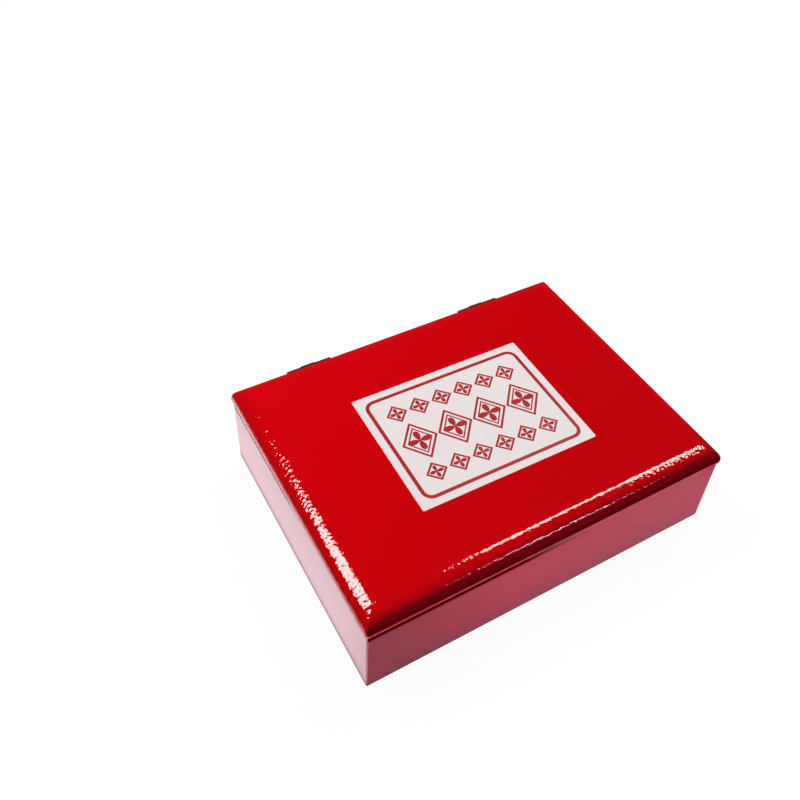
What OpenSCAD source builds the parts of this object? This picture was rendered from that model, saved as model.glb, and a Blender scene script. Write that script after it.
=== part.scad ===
/* [Case] */
// Length of the case, left to right, over its covering
case_l = 110; // [90:1:160]
// Depth of the case, front to back, over its covering
case_w = 83.4; // [70:0.2:120]
// Height of the seam between case and lid above the table
seam_h = 25; // [21:0.5:40]
// Thickness of the four wall boards
wall_t = 4.2; // [3.4:0.1:5.4]
// Thickness of the bottom board
panel_t = 2.5; // [2:0.1:4]
// Depth of the rebates that hold the bottom board and the end walls
rebate = 2; // [1:0.1:2.6]
// Thickness of the leatherette covering
wrap_t = 0.4; // [0.3:0.05:0.6]
// Radius on the upright corners of the covered case
corner_r = 0.5; // [0.4:0.1:2]
// Radius on the covered rim and on the lower edges
edge_r = 0.5; // [0.2:0.1:0.8]
// How far the covering is turned down inside the rim
turn_down = 7; // [4:0.5:10]
// How far the covering is turned in under the case and under the lid
turn_in = 9; // [6:0.5:14]
// Thickness of the paper sheet under the case
sheet_t = 0.25; // [0.15:0.05:0.5]
// Distance of that sheet from the edges of the case
sheet_inset = 2.2; // [1:0.1:5]

/* [Lid] */
// Height of the padded lid above the seam
lid_h = 4.6; // [4:0.1:8]
// How far the lid stands out over the front and the two ends
lid_over = 0.5; // [0:0.1:2]
// How far the lid stands out over the back
lid_over_back = 0.5; // [0:0.1:1]
// Height of the lid's upright edge below the padded shoulder
lid_edge_h = 1.1; // [0.6:0.1:2]
// Width of the rounded shoulder of the padding
shoulder = 5; // [3:0.25:10]
// Radius on the upright corners of the covered lid
lid_corner_r = 0.9; // [0.7:0.1:2]
// Thickness of the lid's board
lid_board_t = 2.4; // [1.8:0.1:3]
// Length of the label
label_l = 55; // [40:0.5:80]
// Depth of the label
label_w = 41.6; // [30:0.2:60]
// Thickness of the label
label_t = 0.15; // [0.05:0.05:0.4]
// Radius on the corners of the label
label_r = 0.5; // [0.2:0.1:2]
// Angle at which the label was stuck on, seen from above
label_turn = -0.8; // [-2:0.1:2]

/* [Hinges] */
// Length of each hinge
hinge_l = 14; // [11:0.5:20]
// Distance from the end of the case to the hinge
hinge_inset = 18; // [10:0.5:26]
// Radius of the hinge barrel
barrel_r = 1; // [0.9:0.05:1.6]
// Radius of the hinge pin
pin_r = 0.5; // [0.35:0.05:0.6]
// Thickness of the hinge leaves
leaf_t = 0.6; // [0.4:0.05:0.8]
// Angle at which the stop toes meet the back of the case
open_angle = 100; // [92:1:110]
// Distance between the two screws of a leaf
screw_pitch = 8.4; // [6:0.2:9.2]
// Radius of a screw's head
screw_head_r = 1.15; // [0.9:0.05:1.3]
// Radius of a screw's shank
screw_r = 0.55; // [0.4:0.05:0.7]
// Length of the screws in the back wall
wall_screw_l = 5; // [3:0.5:8]
// Length of the screws in the lid board
lid_screw_l = 2.3; // [1.8:0.1:2.5]

/* [Lining] */
// Thickness of the lining on the walls
lining_t = 0.8; // [0.5:0.1:1.2]
// Distance from the seam down to the top of the wall lining
lining_drop = 2.4; // [1.5:0.1:4]
// Thickness of the sheet on the floor of the case
floor_sheet_t = 0.4; // [0.2:0.1:0.8]
// Thickness of the card under the lid
lid_card_t = 0.8; // [0.5:0.1:1.2]
// Thickness of the satin pad under that card
satin_pad_t = 1.3; // [0.9:0.1:2]
// Width of the rounded edge of the satin pad
pad_shoulder = 2.6; // [1.5:0.1:5]
// Thickness of the satin round the edge of the card
satin_t = 0.5; // [0.3:0.1:0.8]

/* [Insert] */
// Distance from the seam down to the top of the insert
deck_drop = 9; // [8:0.5:12]
// Thickness of the upper layer, which is the depth of the spatula groove
upper_t = 7; // [5:0.5:8.5]
// Insert left in front of and behind the dish
dish_margin = 8.7; // [7.5:0.1:12]
// Insert left between the dish well and the left end
dish_side = 6; // [3:0.5:10]
// Radius of the two finger scoops beside the dish
scoop_r = 7.5; // [6:0.5:9]
// Radius of the finger hole in the middle of the spatula groove
finger_r = 8; // [7:0.5:10]
// Distance from the right end of the insert to the middle of the spatula groove
groove_side = 18.6; // [14:0.1:24]
// Radius of the corners of the spatula groove
groove_r = 2.5; // [1.5:0.5:4]

/* [Dish] */
// Thickness of the dish's wall
dish_wall = 2.2; // [1.6:0.1:3]
// Thickness of the dish's floor
dish_floor = 2.4; // [1.8:0.1:3.5]
// Width of the foot ring
foot_w = 2.4; // [1.5:0.1:4]
// Height of the foot ring
foot_h = 0.9; // [0.5:0.1:1.5]
// Width of the ledge on which the cover sits
ledge = 2; // [1.4:0.1:3]
// Height of the lip that stands inside the cover
lip_h = 1.6; // [1:0.1:2.2]
// Thickness of the cover's crown
crown_t = 1.9; // [1.4:0.1:2.8]
// Radius of the cover's upper edge
cover_r = 2.8; // [1.5:0.1:3.6]
// How far the cover rises above the top of the insert's deck before it starts
parting_rise = 0.6; // [0:0.1:1.5]
// How far the paste stays below the top of the lip
paste_drop = 3.4; // [2:0.1:5]
// Height of the mound in the middle of the paste
mound_h = 1.2; // [0.5:0.1:2]

/* [Spatula] */
// Length of the spatula
spatula_l = 61; // [45:1:64]
// Diameter of the spatula's handle
handle_d = 4.4; // [3:0.2:5]
// Width of the spatula's blade
blade_w = 8; // [6:0.5:9]
// Thickness of the spatula's blade
blade_t = 1.3; // [1:0.1:2]
// Length of the spatula's blade
blade_l = 17; // [12:1:22]

/* [Hidden] */
// Clearances
lay_in = 0.1; // around a leaf in its recess
barrel_gap = 0.15; // between the lid's back edge and the barrels
leaf_short = 0.5; // from a leaf's inner edge to the inner face of the back wall
knuckle_gap = 0.15; // between neighbouring knuckles and beside the leaves
pin_run = 0.05; // between pin and turning knuckle
pin_seat = 0.02; // between pin and fixed knuckle
screw_seat = 0.02; // between screw and leaf or wood
toe_gap = 0.05; // between stop toe and case when the lid is open
insert_gap = 0.2; // between insert and lining
well_gap = 0.4; // between dish and insert
pad_gap = 0.8; // between lid lining and wall lining
pad_rest = 0.3; // between satin pad and dish cover
cover_run = 0.3; // between cover and dish lip
paste_seat = 0.05; // between paste and dish
groove_gap = 1; // around the spatula in its groove
eps = 0.01; // overrun of a cut past the face that it opens
cut = 50; // overrun of a cut that clears everything on its side
$fn = 96;

// Heights, upwards from the table
board_z = sheet_t + wrap_t;
board_top = seam_h - wrap_t;
floor_z = board_z + panel_t;
stand_z = floor_z + floor_sheet_t;
deck_z = seam_h - deck_drop;
layer_z = deck_z - upper_t;
parting_z = deck_z + parting_rise;
pad_z = seam_h - lid_card_t - satin_pad_t;
cover_top = pad_z - pad_rest;
lid_top = seam_h + lid_h;

// Plan sizes
board_l = case_l - 2 * wrap_t;
board_w = case_w - 2 * wrap_t;
inner_l = board_l - 2 * wall_t;
inner_w = board_w - 2 * wall_t;
lined_l = inner_l - 2 * wrap_t - 2 * lining_t;
lined_w = inner_w - 2 * wrap_t - 2 * lining_t;
insert_l = lined_l - 2 * insert_gap;
insert_w = lined_w - 2 * insert_gap;
pad_l = lined_l - 2 * pad_gap;
pad_w = lined_w - 2 * pad_gap;
card_l = pad_l - 2 * satin_t;
card_w = pad_w - 2 * satin_t;
lid_l = case_l + 2 * lid_over;
lid_front = -case_w / 2 - lid_over;
lid_back = case_w / 2 + lid_over_back;
lid_w = lid_back - lid_front;
lid_mid = (lid_back + lid_front) / 2;

// Dish and groove
dish_r = insert_w / 2 - dish_margin;
well_r = dish_r + well_gap;
dish_x = -insert_l / 2 + dish_side + well_r;
lip_r = dish_r - ledge;
bowl_r = lip_r - dish_wall;
dish_h = parting_z - stand_z;
cover_h = cover_top - parting_z;
belly_a = dish_r * 0.3;
belly_b = min(dish_h * 0.45, 6);
bowl_round = min(bowl_r * 0.3, (dish_h - dish_floor) * 0.6);
paste_top = dish_h + lip_h - paste_drop;
groove_w = max(blade_w, handle_d) + 2 * groove_gap;
groove_l = spatula_l + 2 * groove_gap;
groove_x = insert_l / 2 - groove_side;
scoop_y = well_r - 1;

// Hinges
back_y = case_w / 2;
axis_y = lid_back + barrel_gap + barrel_r;
axis_out = axis_y - back_y;
hinge_x = case_l / 2 - hinge_inset - hinge_l / 2;
knuckle_l = (hinge_l - 2 * knuckle_gap) / 3;
knuckle_step = knuckle_l + knuckle_gap;
leaf_in = wrap_t + wall_t - leaf_short;
leaf_edge_y = axis_y - barrel_r - knuckle_gap;
screw_y = back_y - wrap_t - wall_t / 2;
head_h = leaf_t - 0.1;
toe_top = leaf_t + knuckle_gap;
toe_drop = toe_top + barrel_r * 0.8;
toe_back = barrel_r * 0.2;
pin_head_r = pin_r + 0.35;
pin_head_h = 0.35;

// Points along a quarter of an ellipse, from angle a0 to angle a1
function arc(cx, cy, rx, ry, a0, a1, n = 10) =
  [for (i = [0 : n]) let (t = a0 + (a1 - a0) * i / n) [cx + rx * cos(t), cy + ry * sin(t)]];

// A rectangle about the origin with round corners
module round_rect(l, w, r) {
  square([l - 2 * r, w], center = true);
  square([l, w - 2 * r], center = true);
  for (x = [-1, 1], y = [-1, 1]) {
    translate([x * (l / 2 - r), y * (w / 2 - r)]) circle(r = r, $fn = 48);
  }
}

// Turns an outline drawn across and up into a bar along X or along Y
module along_x(l) {
  rotate([90, 0, 90]) translate([0, 0, -l / 2]) linear_extrude(height = l) children();
}
module along_y(w) {
  rotate([90, 0, 0]) translate([0, 0, -w / 2]) linear_extrude(height = w) children();
}

// Section of a padded board: an upright edge, a rounded shoulder and a flat top
module padded_section(w, h, edge_h, a) {
  half = w / 2;
  polygon(concat(
    [[-half, 0], [half, 0]],
    arc(half - a, edge_h, a, h - edge_h, 0, 90),
    arc(-half + a, edge_h, a, h - edge_h, 90, 180)
  ));
}

// A padded board whose shoulders meet in mitres at the corners
module padded_form(l, w, h, edge_h, a, r) {
  intersection() {
    along_x(l + 1) padded_section(w, h, edge_h, a);
    along_y(w + 1) padded_section(l, h, edge_h, a);
    linear_extrude(height = h) round_rect(l, w, r);
  }
}

// The covered lid, or what lies inside its covering
module lid_form(inset) {
  translate([0, lid_mid, seam_h + inset]) padded_form(
    lid_l - 2 * inset, lid_w - 2 * inset, lid_h - 2 * inset,
    lid_edge_h - inset, shoulder - inset, lid_corner_r - inset
  );
}

// A block with round upright corners and softly rounded upper and lower edges
module soft_block(l, w, z0, z1) {
  mid = (z0 + z1) / 2;
  h = z1 - z0;
  intersection() {
    translate([0, 0, z0]) linear_extrude(height = h) round_rect(l, w, corner_r);
    along_x(l + 1) translate([0, mid]) round_rect(w, h, edge_r);
    along_y(w + 1) translate([0, mid]) round_rect(l, h, edge_r);
  }
}

module plate(l, w, z0, z1) {
  translate([0, 0, (z0 + z1) / 2]) cube([l, w, z1 - z0], center = true);
}

module each_hinge() {
  for (side = [-1, 1]) {
    translate([side * hinge_x, 0, 0]) children();
  }
}

module at_screws() {
  for (side = [-1, 1]) {
    translate([side * screw_pitch / 2, screw_y, seam_h]) children();
  }
}

// Room for one leaf, z0 and z1 counted from the seam
module leaf_recess(z0, z1) {
  translate([-hinge_l / 2 - lay_in, back_y - leaf_in - lay_in, seam_h + z0])
    cube([hinge_l + 2 * lay_in, cut, z1 - z0]);
}

// Case

// A wall board of length l, rebated below for the bottom board, its outer face at y = 0
module wall_board(l) {
  along_x(l) polygon([
    [0, board_z], [wall_t - rebate, board_z], [wall_t - rebate, floor_z],
    [wall_t, floor_z], [wall_t, board_top], [0, board_top]
  ]);
}

module long_wall() {
  difference() {
    translate([0, -board_w / 2, 0]) wall_board(board_l);
    for (side = [-1, 1]) {
      translate([side * board_l / 2, -board_w / 2 + wall_t - rebate + cut / 2, seam_h / 2])
        cube([2 * wall_t, cut, 2 * seam_h], center = true);
    }
  }
}

module front_wall() {
  color("burlywood") long_wall();
}

module back_wall() {
  color("burlywood") difference() {
    mirror([0, 1, 0]) long_wall();
    each_hinge() {
      leaf_recess(-leaf_t, cut);
      at_screws() cylinder(r = screw_r + screw_seat, h = 2 * wall_screw_l + 1, center = true, $fn = 24);
    }
  }
}

module end_wall() {
  rotate([0, 0, 90]) translate([0, -board_l / 2, 0]) wall_board(inner_w + 2 * rebate);
}

module left_wall() {
  color("burlywood") mirror([1, 0, 0]) end_wall();
}

module right_wall() {
  color("burlywood") end_wall();
}

module base_panel() {
  color("tan") plate(inner_l + 2 * rebate, inner_w + 2 * rebate, board_z, floor_z);
}

module case_wrap() {
  color("firebrick") difference() {
    union() {
      difference() {
        soft_block(case_l, case_w, sheet_t, seam_h);
        plate(board_l, board_w, board_z, board_top);
        plate(inner_l - 2 * wrap_t, inner_w - 2 * wrap_t, seam_h / 2, seam_h + cut);
        plate(board_l - 2 * turn_in, board_w - 2 * turn_in, -cut, seam_h / 2);
      }
      difference() {
        plate(inner_l, inner_w, board_top - turn_down, board_top);
        plate(inner_l - 2 * wrap_t, inner_w - 2 * wrap_t, 0, seam_h + cut);
      }
    }
    each_hinge() leaf_recess(-leaf_t, cut);
  }
}

module bottom_sheet() {
  color("dimgray") union() {
    plate(case_l - 2 * sheet_inset, case_w - 2 * sheet_inset, 0, sheet_t);
    plate(board_l - 2 * turn_in, board_w - 2 * turn_in, 0, board_z);
  }
}

module wall_lining() {
  color("goldenrod") difference() {
    plate(lined_l + 2 * lining_t, lined_w + 2 * lining_t, floor_z, seam_h - lining_drop);
    plate(lined_l, lined_w, 0, seam_h + cut);
  }
}

module floor_lining() {
  color("gold") plate(lined_l, lined_w, floor_z, stand_z);
}

// Insert

module insert_layer(z0, z1) {
  translate([0, 0, z0]) linear_extrude(height = z1 - z0) difference() {
    square([insert_l, insert_w], center = true);
    translate([dish_x, 0]) circle(r = well_r);
    children();
  }
}

module insert_lower() {
  color("goldenrod") insert_layer(stand_z, layer_z);
}

module insert_upper() {
  color("goldenrod") insert_layer(layer_z, deck_z) {
    for (side = [-1, 1]) {
      translate([dish_x, side * scoop_y]) circle(r = scoop_r);
    }
    translate([groove_x, 0]) {
      round_rect(groove_w, groove_l, groove_r);
      circle(r = finger_r);
    }
  }
}

// Dish, cover and paste, each a revolved section

module paste_dish() {
  foot_r = dish_r - belly_a;
  color("white") translate([dish_x, 0, stand_z]) rotate_extrude() polygon(concat(
    [[0, foot_h], [foot_r - foot_w, foot_h], [foot_r - foot_w, 0], [foot_r, 0]],
    arc(foot_r, belly_b, belly_a, belly_b - foot_h, -90, 0),
    [[dish_r, dish_h], [lip_r, dish_h]],
    arc(lip_r - dish_wall / 2, dish_h + lip_h - dish_wall / 2, dish_wall / 2, dish_wall / 2, 0, 180),
    arc(bowl_r - bowl_round, dish_floor + bowl_round, bowl_round, bowl_round, 0, -90),
    [[0, dish_floor]]
  ));
}

module seal_paste() {
  r = bowl_r - paste_seat;
  low = dish_floor + paste_seat;
  color("red") translate([dish_x, 0, stand_z]) rotate_extrude() polygon(concat(
    [[0, low]],
    arc(bowl_r - bowl_round, dish_floor + bowl_round, bowl_round - paste_seat, bowl_round - paste_seat, -90, 0),
    arc(0, paste_top, r, mound_h, 0, 90)
  ));
}

module dish_cover() {
  hollow_r = lip_r + cover_run;
  rim_h = cover_h - cover_r;
  color("white") translate([dish_x, 0, parting_z]) rotate_extrude() polygon(concat(
    [[0, cover_h - crown_t], [hollow_r - 1, cover_h - crown_t], [hollow_r, cover_h - crown_t - 1]],
    [[hollow_r, 0], [dish_r, 0]],
    arc(dish_r - cover_r, rim_h, cover_r, cover_r, 0, 90),
    [[0, cover_h]]
  ));
}

module spatula() {
  tip_y = -spatula_l / 2;
  end_y = spatula_l / 2;
  color("ivory") translate([groove_x, 0, layer_z]) union() {
    hull() {
      translate([0, end_y - handle_d / 2, handle_d / 2]) sphere(d = handle_d, $fn = 24);
      translate([0, tip_y + blade_l + 8, handle_d / 2 * 0.8]) sphere(d = handle_d * 0.8, $fn = 24);
    }
    hull() {
      translate([0, tip_y + blade_l + 8, handle_d / 2 * 0.8]) sphere(d = handle_d * 0.8, $fn = 24);
      translate([0, tip_y + blade_l, 0]) cylinder(d = blade_w * 0.8, h = blade_t, $fn = 32);
    }
    hull() {
      translate([0, tip_y + blade_l, 0]) cylinder(d = blade_w * 0.8, h = blade_t, $fn = 32);
      translate([0, tip_y + blade_w / 2, 0]) cylinder(d = blade_w, h = blade_t * 0.8, $fn = 32);
    }
  }
}

// Hinges

// Tube of one knuckle, k = -1, 0 or 1 along the barrel
module knuckle(k) {
  translate([k * knuckle_step, axis_y, seam_h]) rotate([20, 0, 0]) rotate([0, 90, 0])
    cylinder(r = barrel_r, h = knuckle_l, center = true, $fn = 48);
}

// Strip that ties a knuckle to its leaf, z0 and z1 counted from the seam
module tongue(k, z0, z1) {
  translate([k * knuckle_step - knuckle_l / 2, leaf_edge_y - 1, seam_h + z0])
    cube([knuckle_l, axis_y - (barrel_r + pin_r) / 2 - leaf_edge_y + 1, z1 - z0]);
}

module leaf_plate(z0, z1) {
  translate([-hinge_l / 2, back_y - leaf_in, seam_h + z0])
    cube([hinge_l, leaf_edge_y - back_y + leaf_in, z1 - z0]);
}

module pin_hole(run) {
  translate([0, axis_y, seam_h]) rotate([0, 90, 0])
    cylinder(r = pin_r + run, h = hinge_l + 2, center = true, $fn = 36);
}

// A countersunk screw with its head level with z = 0 and its point down
module screw_body(l, extra) {
  translate([0, 0, -head_h]) cylinder(r1 = screw_r + extra, r2 = screw_head_r + extra, h = head_h, $fn = 36);
  translate([0, 0, -l]) cylinder(r = screw_r + extra, h = l - head_h + eps, $fn = 24);
}

module screw(l) {
  slot_w = screw_head_r * 0.28;
  difference() {
    screw_body(l, 0);
    cube([2 * screw_head_r + 1, slot_w, head_h], center = true);
  }
}

module base_leaf() {
  difference() {
    union() {
      leaf_plate(-leaf_t, 0);
      for (k = [-1, 1]) {
        tongue(k, -leaf_t, 0);
        knuckle(k);
      }
    }
    pin_hole(pin_seat);
    at_screws() screw_body(leaf_t + 1, screw_seat);
  }
}

// Toe on the lid's knuckle, drawn where it meets the back of the case with the lid open
module stop_toe() {
  translate([0, axis_y, seam_h]) rotate([open_angle, 0, 0])
    translate([-knuckle_l / 2, -axis_out + toe_gap, -toe_drop])
      cube([knuckle_l, axis_out - toe_gap - toe_back, toe_drop - toe_top]);
}

module lid_leaf() {
  difference() {
    union() {
      leaf_plate(0, leaf_t);
      tongue(0, 0, leaf_t);
      knuckle(0);
      stop_toe();
    }
    pin_hole(pin_run);
    at_screws() mirror([0, 0, 1]) screw_body(leaf_t + 1, screw_seat);
  }
}

module hinge_pin() {
  translate([0, axis_y, seam_h]) rotate([0, 90, 0]) {
    cylinder(r = pin_r, h = hinge_l, center = true, $fn = 36);
    for (side = [0, 1]) {
      mirror([0, 0, side]) translate([0, 0, hinge_l / 2])
        cylinder(r1 = pin_head_r, r2 = pin_r, h = pin_head_h, $fn = 36);
    }
  }
}

module left_base_leaf() {
  color("sienna") translate([-hinge_x, 0, 0]) base_leaf();
}

module right_base_leaf() {
  color("sienna") translate([hinge_x, 0, 0]) base_leaf();
}

module left_lid_leaf() {
  color("sienna") translate([-hinge_x, 0, 0]) lid_leaf();
}

module right_lid_leaf() {
  color("sienna") translate([hinge_x, 0, 0]) lid_leaf();
}

module left_hinge_pin() {
  color("silver") translate([-hinge_x, 0, 0]) hinge_pin();
}

module right_hinge_pin() {
  color("silver") translate([hinge_x, 0, 0]) hinge_pin();
}

module base_screws() {
  color("sienna") each_hinge() at_screws() screw(wall_screw_l);
}

module lid_screws() {
  color("sienna") each_hinge() at_screws() mirror([0, 0, 1]) screw(lid_screw_l);
}

// Lid

module lid_panel() {
  color("burlywood") difference() {
    lid_form(wrap_t);
    translate([0, 0, seam_h + wrap_t + lid_board_t]) plate(2 * lid_l, 2 * lid_w, 0, cut);
    each_hinge() {
      leaf_recess(-cut, leaf_t);
      at_screws() cylinder(r = screw_r + screw_seat, h = 2 * lid_screw_l, center = true, $fn = 24);
    }
  }
}

module lid_padding() {
  color("lightyellow") difference() {
    lid_form(wrap_t);
    translate([0, 0, seam_h + wrap_t + lid_board_t]) plate(2 * lid_l, 2 * lid_w, -cut, 0);
  }
}

module lid_wrap() {
  color("red") difference() {
    lid_form(0);
    lid_form(wrap_t);
    translate([0, lid_mid, 0]) plate(lid_l - 2 * turn_in, lid_w - 2 * turn_in, 0, seam_h + lid_edge_h);
    each_hinge() leaf_recess(-cut, leaf_t);
  }
}

module lid_label() {
  color("gainsboro") translate([0, 0, lid_top]) rotate([0, 0, label_turn])
    linear_extrude(height = label_t) round_rect(label_l, label_w, label_r);
}

module lid_card() {
  color("wheat") plate(card_l, card_w, seam_h - lid_card_t, seam_h);
}

module lid_satin_pad() {
  color("gold") difference() {
    translate([0, 0, seam_h]) mirror([0, 0, 1]) padded_form(
      pad_l, pad_w, lid_card_t + satin_pad_t, lid_card_t, pad_shoulder, corner_r
    );
    plate(card_l, card_w, seam_h - lid_card_t, seam_h + cut);
  }
}

front_wall();
back_wall();
left_wall();
right_wall();
base_panel();
case_wrap();
bottom_sheet();
wall_lining();
floor_lining();
insert_lower();
insert_upper();
paste_dish();
seal_paste();
dish_cover();
spatula();
left_base_leaf();
right_base_leaf();
left_hinge_pin();
right_hinge_pin();
base_screws();
lid_panel();
lid_padding();
lid_wrap();
lid_label();
lid_card();
lid_satin_pad();
left_lid_leaf();
right_lid_leaf();
lid_screws();
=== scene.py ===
"""Looks of a desk box for seal paste, dressed around its packed construction.

The box is covered in red leatherette, its padded lid carries a printed label, and it
holds a porcelain dish and a spatula in a flocked insert behind a satin lining.
Lengths are in metres, in the frame of the construction model.
"""
import logging
import math
from dataclasses import dataclass, replace
from enum import Enum
from typing import Callable, Iterable, Sequence

import bmesh
import bpy
from bmesh.types import BMEdge, BMesh, BMFace, BMVert
from mathutils import Matrix, Vector, noise


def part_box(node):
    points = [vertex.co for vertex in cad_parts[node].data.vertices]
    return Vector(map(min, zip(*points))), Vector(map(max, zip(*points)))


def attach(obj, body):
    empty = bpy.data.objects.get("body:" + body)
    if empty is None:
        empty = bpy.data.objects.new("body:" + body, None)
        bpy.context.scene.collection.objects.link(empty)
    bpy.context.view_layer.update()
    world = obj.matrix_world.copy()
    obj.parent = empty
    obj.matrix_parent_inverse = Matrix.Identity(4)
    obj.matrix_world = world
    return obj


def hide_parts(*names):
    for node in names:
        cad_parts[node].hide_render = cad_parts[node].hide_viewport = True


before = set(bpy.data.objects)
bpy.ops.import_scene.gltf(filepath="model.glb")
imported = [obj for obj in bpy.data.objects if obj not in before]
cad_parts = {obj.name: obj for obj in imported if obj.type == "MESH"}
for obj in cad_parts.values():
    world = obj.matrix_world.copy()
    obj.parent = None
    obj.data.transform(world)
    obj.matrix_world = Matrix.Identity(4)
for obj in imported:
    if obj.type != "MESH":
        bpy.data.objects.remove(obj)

MM = 0.001
Colour = tuple[float, float, float]
Point = tuple[float, float, float]
Pair = tuple[float, float]
Section = list[Pair]
WHITE = (1.0, 1.0, 1.0)
log = logging.getLogger("seal_paste_box")


class Body(Enum):
    """The two parts of the box that the hinges join."""

    CASE = "case"
    LID = "lid"


# Shader graphs


@dataclass(frozen=True)
class Value:
    """An output in a node graph. Signs and calls on it add nodes that reckon with it."""

    graph: "Graph"
    socket: bpy.types.NodeSocket

    def __add__(self, other: object) -> "Value":
        """Returns the sum."""
        return self.graph.math("ADD", self, other)

    def __sub__(self, other: object) -> "Value":
        """Returns the difference."""
        return self.graph.math("SUBTRACT", self, other)

    def __rsub__(self, other: float) -> "Value":
        """Returns a number less this value."""
        return self.graph.math("SUBTRACT", other, self)

    def __mul__(self, other: object) -> "Value":
        """Returns the product."""
        return self.graph.math("MULTIPLY", self, other)

    def __truediv__(self, other: object) -> "Value":
        """Returns the quotient."""
        return self.graph.math("DIVIDE", self, other)

    def __rtruediv__(self, other: float) -> "Value":
        """Returns a number divided by this value."""
        return self.graph.math("DIVIDE", other, self)

    def __pow__(self, power: float) -> "Value":
        """Returns the power."""
        return self.graph.math("POWER", self, power)

    def __abs__(self) -> "Value":
        """Returns the size without the sign."""
        return self.graph.math("ABSOLUTE", self)

    def most(self, other: object) -> "Value":
        """Returns the larger of two values."""
        return self.graph.math("MAXIMUM", self, other)

    def least(self, other: object) -> "Value":
        """Returns the smaller of two values."""
        return self.graph.math("MINIMUM", self, other)

    def below(self, limit: object) -> "Value":
        """Returns 1 where the value is under a limit, and 0 elsewhere."""
        return self.graph.math("LESS_THAN", self, limit)

    def span(self, low: object, high: object, to_low: float = 0.0, to_high: float = 1.0) -> "Value":
        """Maps the value from one range to another with soft ends."""
        return self.graph.add("ShaderNodeMapRange", {
            "Value": self, "From Min": low, "From Max": high, "To Min": to_low, "To Max": to_high,
        }, interpolation_type="SMOOTHSTEP")[0]


@dataclass(frozen=True)
class Node:
    """A node in a graph."""

    graph: "Graph"
    node: bpy.types.Node

    def __getitem__(self, output: str | int) -> Value:
        """Returns one of its outputs."""
        return Value(self.graph, self.node.outputs[output])


class Graph:
    """Short calls that build one node tree."""

    def __init__(self, tree: bpy.types.NodeTree) -> None:
        """Empties the tree of a material, a world or a group."""
        self.tree = tree
        tree.nodes.clear()

    def fill(self, node: bpy.types.Node, inputs: dict) -> None:
        """Links values into a node's inputs, or sets the inputs to plain numbers.

        Args:
            node: The node.
            inputs: The values by the inputs' names or numbers.
        """
        for name, value in inputs.items():
            socket = node.inputs[name]
            if isinstance(value, Value):
                self.tree.links.new(value.socket, socket)
            elif socket.type == "RGBA":
                socket.default_value = (*value, 1.0)
            else:
                socket.default_value = value

    def add(self, kind: str, inputs: dict | None = None, **settings: object) -> Node:
        """Adds a node.

        Args:
            kind: The node's type.
            inputs: Values for its inputs, by name or number.
            settings: The node's own settings.

        Returns:
            The new node.
        """
        node = self.tree.nodes.new(kind)
        for name, value in settings.items():
            setattr(node, name, value)
        self.fill(node, inputs or {})
        return Node(self, node)

    def math(self, operation: str, *values: object, clamp: bool = False) -> Value:
        """Adds a Math node and returns its value."""
        return self.add("ShaderNodeMath", dict(enumerate(values)), operation=operation, use_clamp=clamp)[0]

    def vector(self, operation: str, *values: object) -> Value:
        """Adds a Vector Math node and returns its vector, or its value for a length."""
        node = self.add("ShaderNodeVectorMath", dict(enumerate(values)), operation=operation)
        return node["Value" if operation in ("LENGTH", "DOT_PRODUCT") else "Vector"]

    def scaled(self, vector: Value, size: Value) -> Value:
        """Returns a vector in units of a size."""
        return self.add("ShaderNodeVectorMath", {0: vector, "Scale": 1.0 / size}, operation="SCALE")["Vector"]

    def split(self, vector: Value) -> tuple[Value, Value, Value]:
        """Returns the three parts of a vector."""
        parts = self.add("ShaderNodeSeparateXYZ", {0: vector})
        return parts[0], parts[1], parts[2]

    def blend(self, factor: object, first: object, second: object) -> Value:
        """Mixes two colours and returns the result."""
        return self.add("ShaderNodeMix", {0: factor, 6: first, 7: second}, data_type="RGBA")[2]

    def mix(self, factor: object, first: object, second: object) -> Value:
        """Mixes two numbers and returns the result."""
        return self.add("ShaderNodeMix", {0: factor, 2: first, 3: second}, data_type="FLOAT")[0]

    def noise(self, vector: Value, scale: float, detail: float = 2.0, roughness: float = 0.5) -> Value:
        """Adds a Noise Texture and returns its value."""
        inputs = {"Vector": vector, "Scale": scale, "Detail": detail, "Roughness": roughness}
        return self.add("ShaderNodeTexNoise", inputs)[0]

    def cells(self, vector: Value, scale: float, feature: str, **more: float) -> Value:
        """Adds a Voronoi Texture and returns its distance."""
        inputs = {"Vector": vector, "Scale": scale, **more}
        return self.add("ShaderNodeTexVoronoi", inputs, feature=feature)["Distance"]

    def bump(self, height: Value, distance: float, under: Value | None = None) -> Value:
        """Adds a Bump node over another normal, if one is given, and returns its normal."""
        inputs = {"Height": height, "Distance": distance, "Strength": 1.0}
        return self.add("ShaderNodeBump", inputs | ({"Normal": under} if under else {}))[0]

    def shared(self, tree: bpy.types.NodeTree, **inputs: object) -> Node:
        """Places a shared effect in the graph."""
        return self.add("ShaderNodeGroup", inputs, node_tree=tree)

    def drift(self, place: Value, size: float) -> Value:
        """Returns the mask of a slow unevenness of a size."""
        return self.shared(drift(), Place=place, Size=size)["Mask"]


def in_mirrors(path: Node) -> Value:
    """Returns 1 for light that a mirror or a glass sees, of a Light Path node."""
    return path["Is Glossy Ray"].most(path["Is Transmission Ray"])


FLOAT = "NodeSocketFloat"
VECTOR = "NodeSocketVector"


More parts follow.
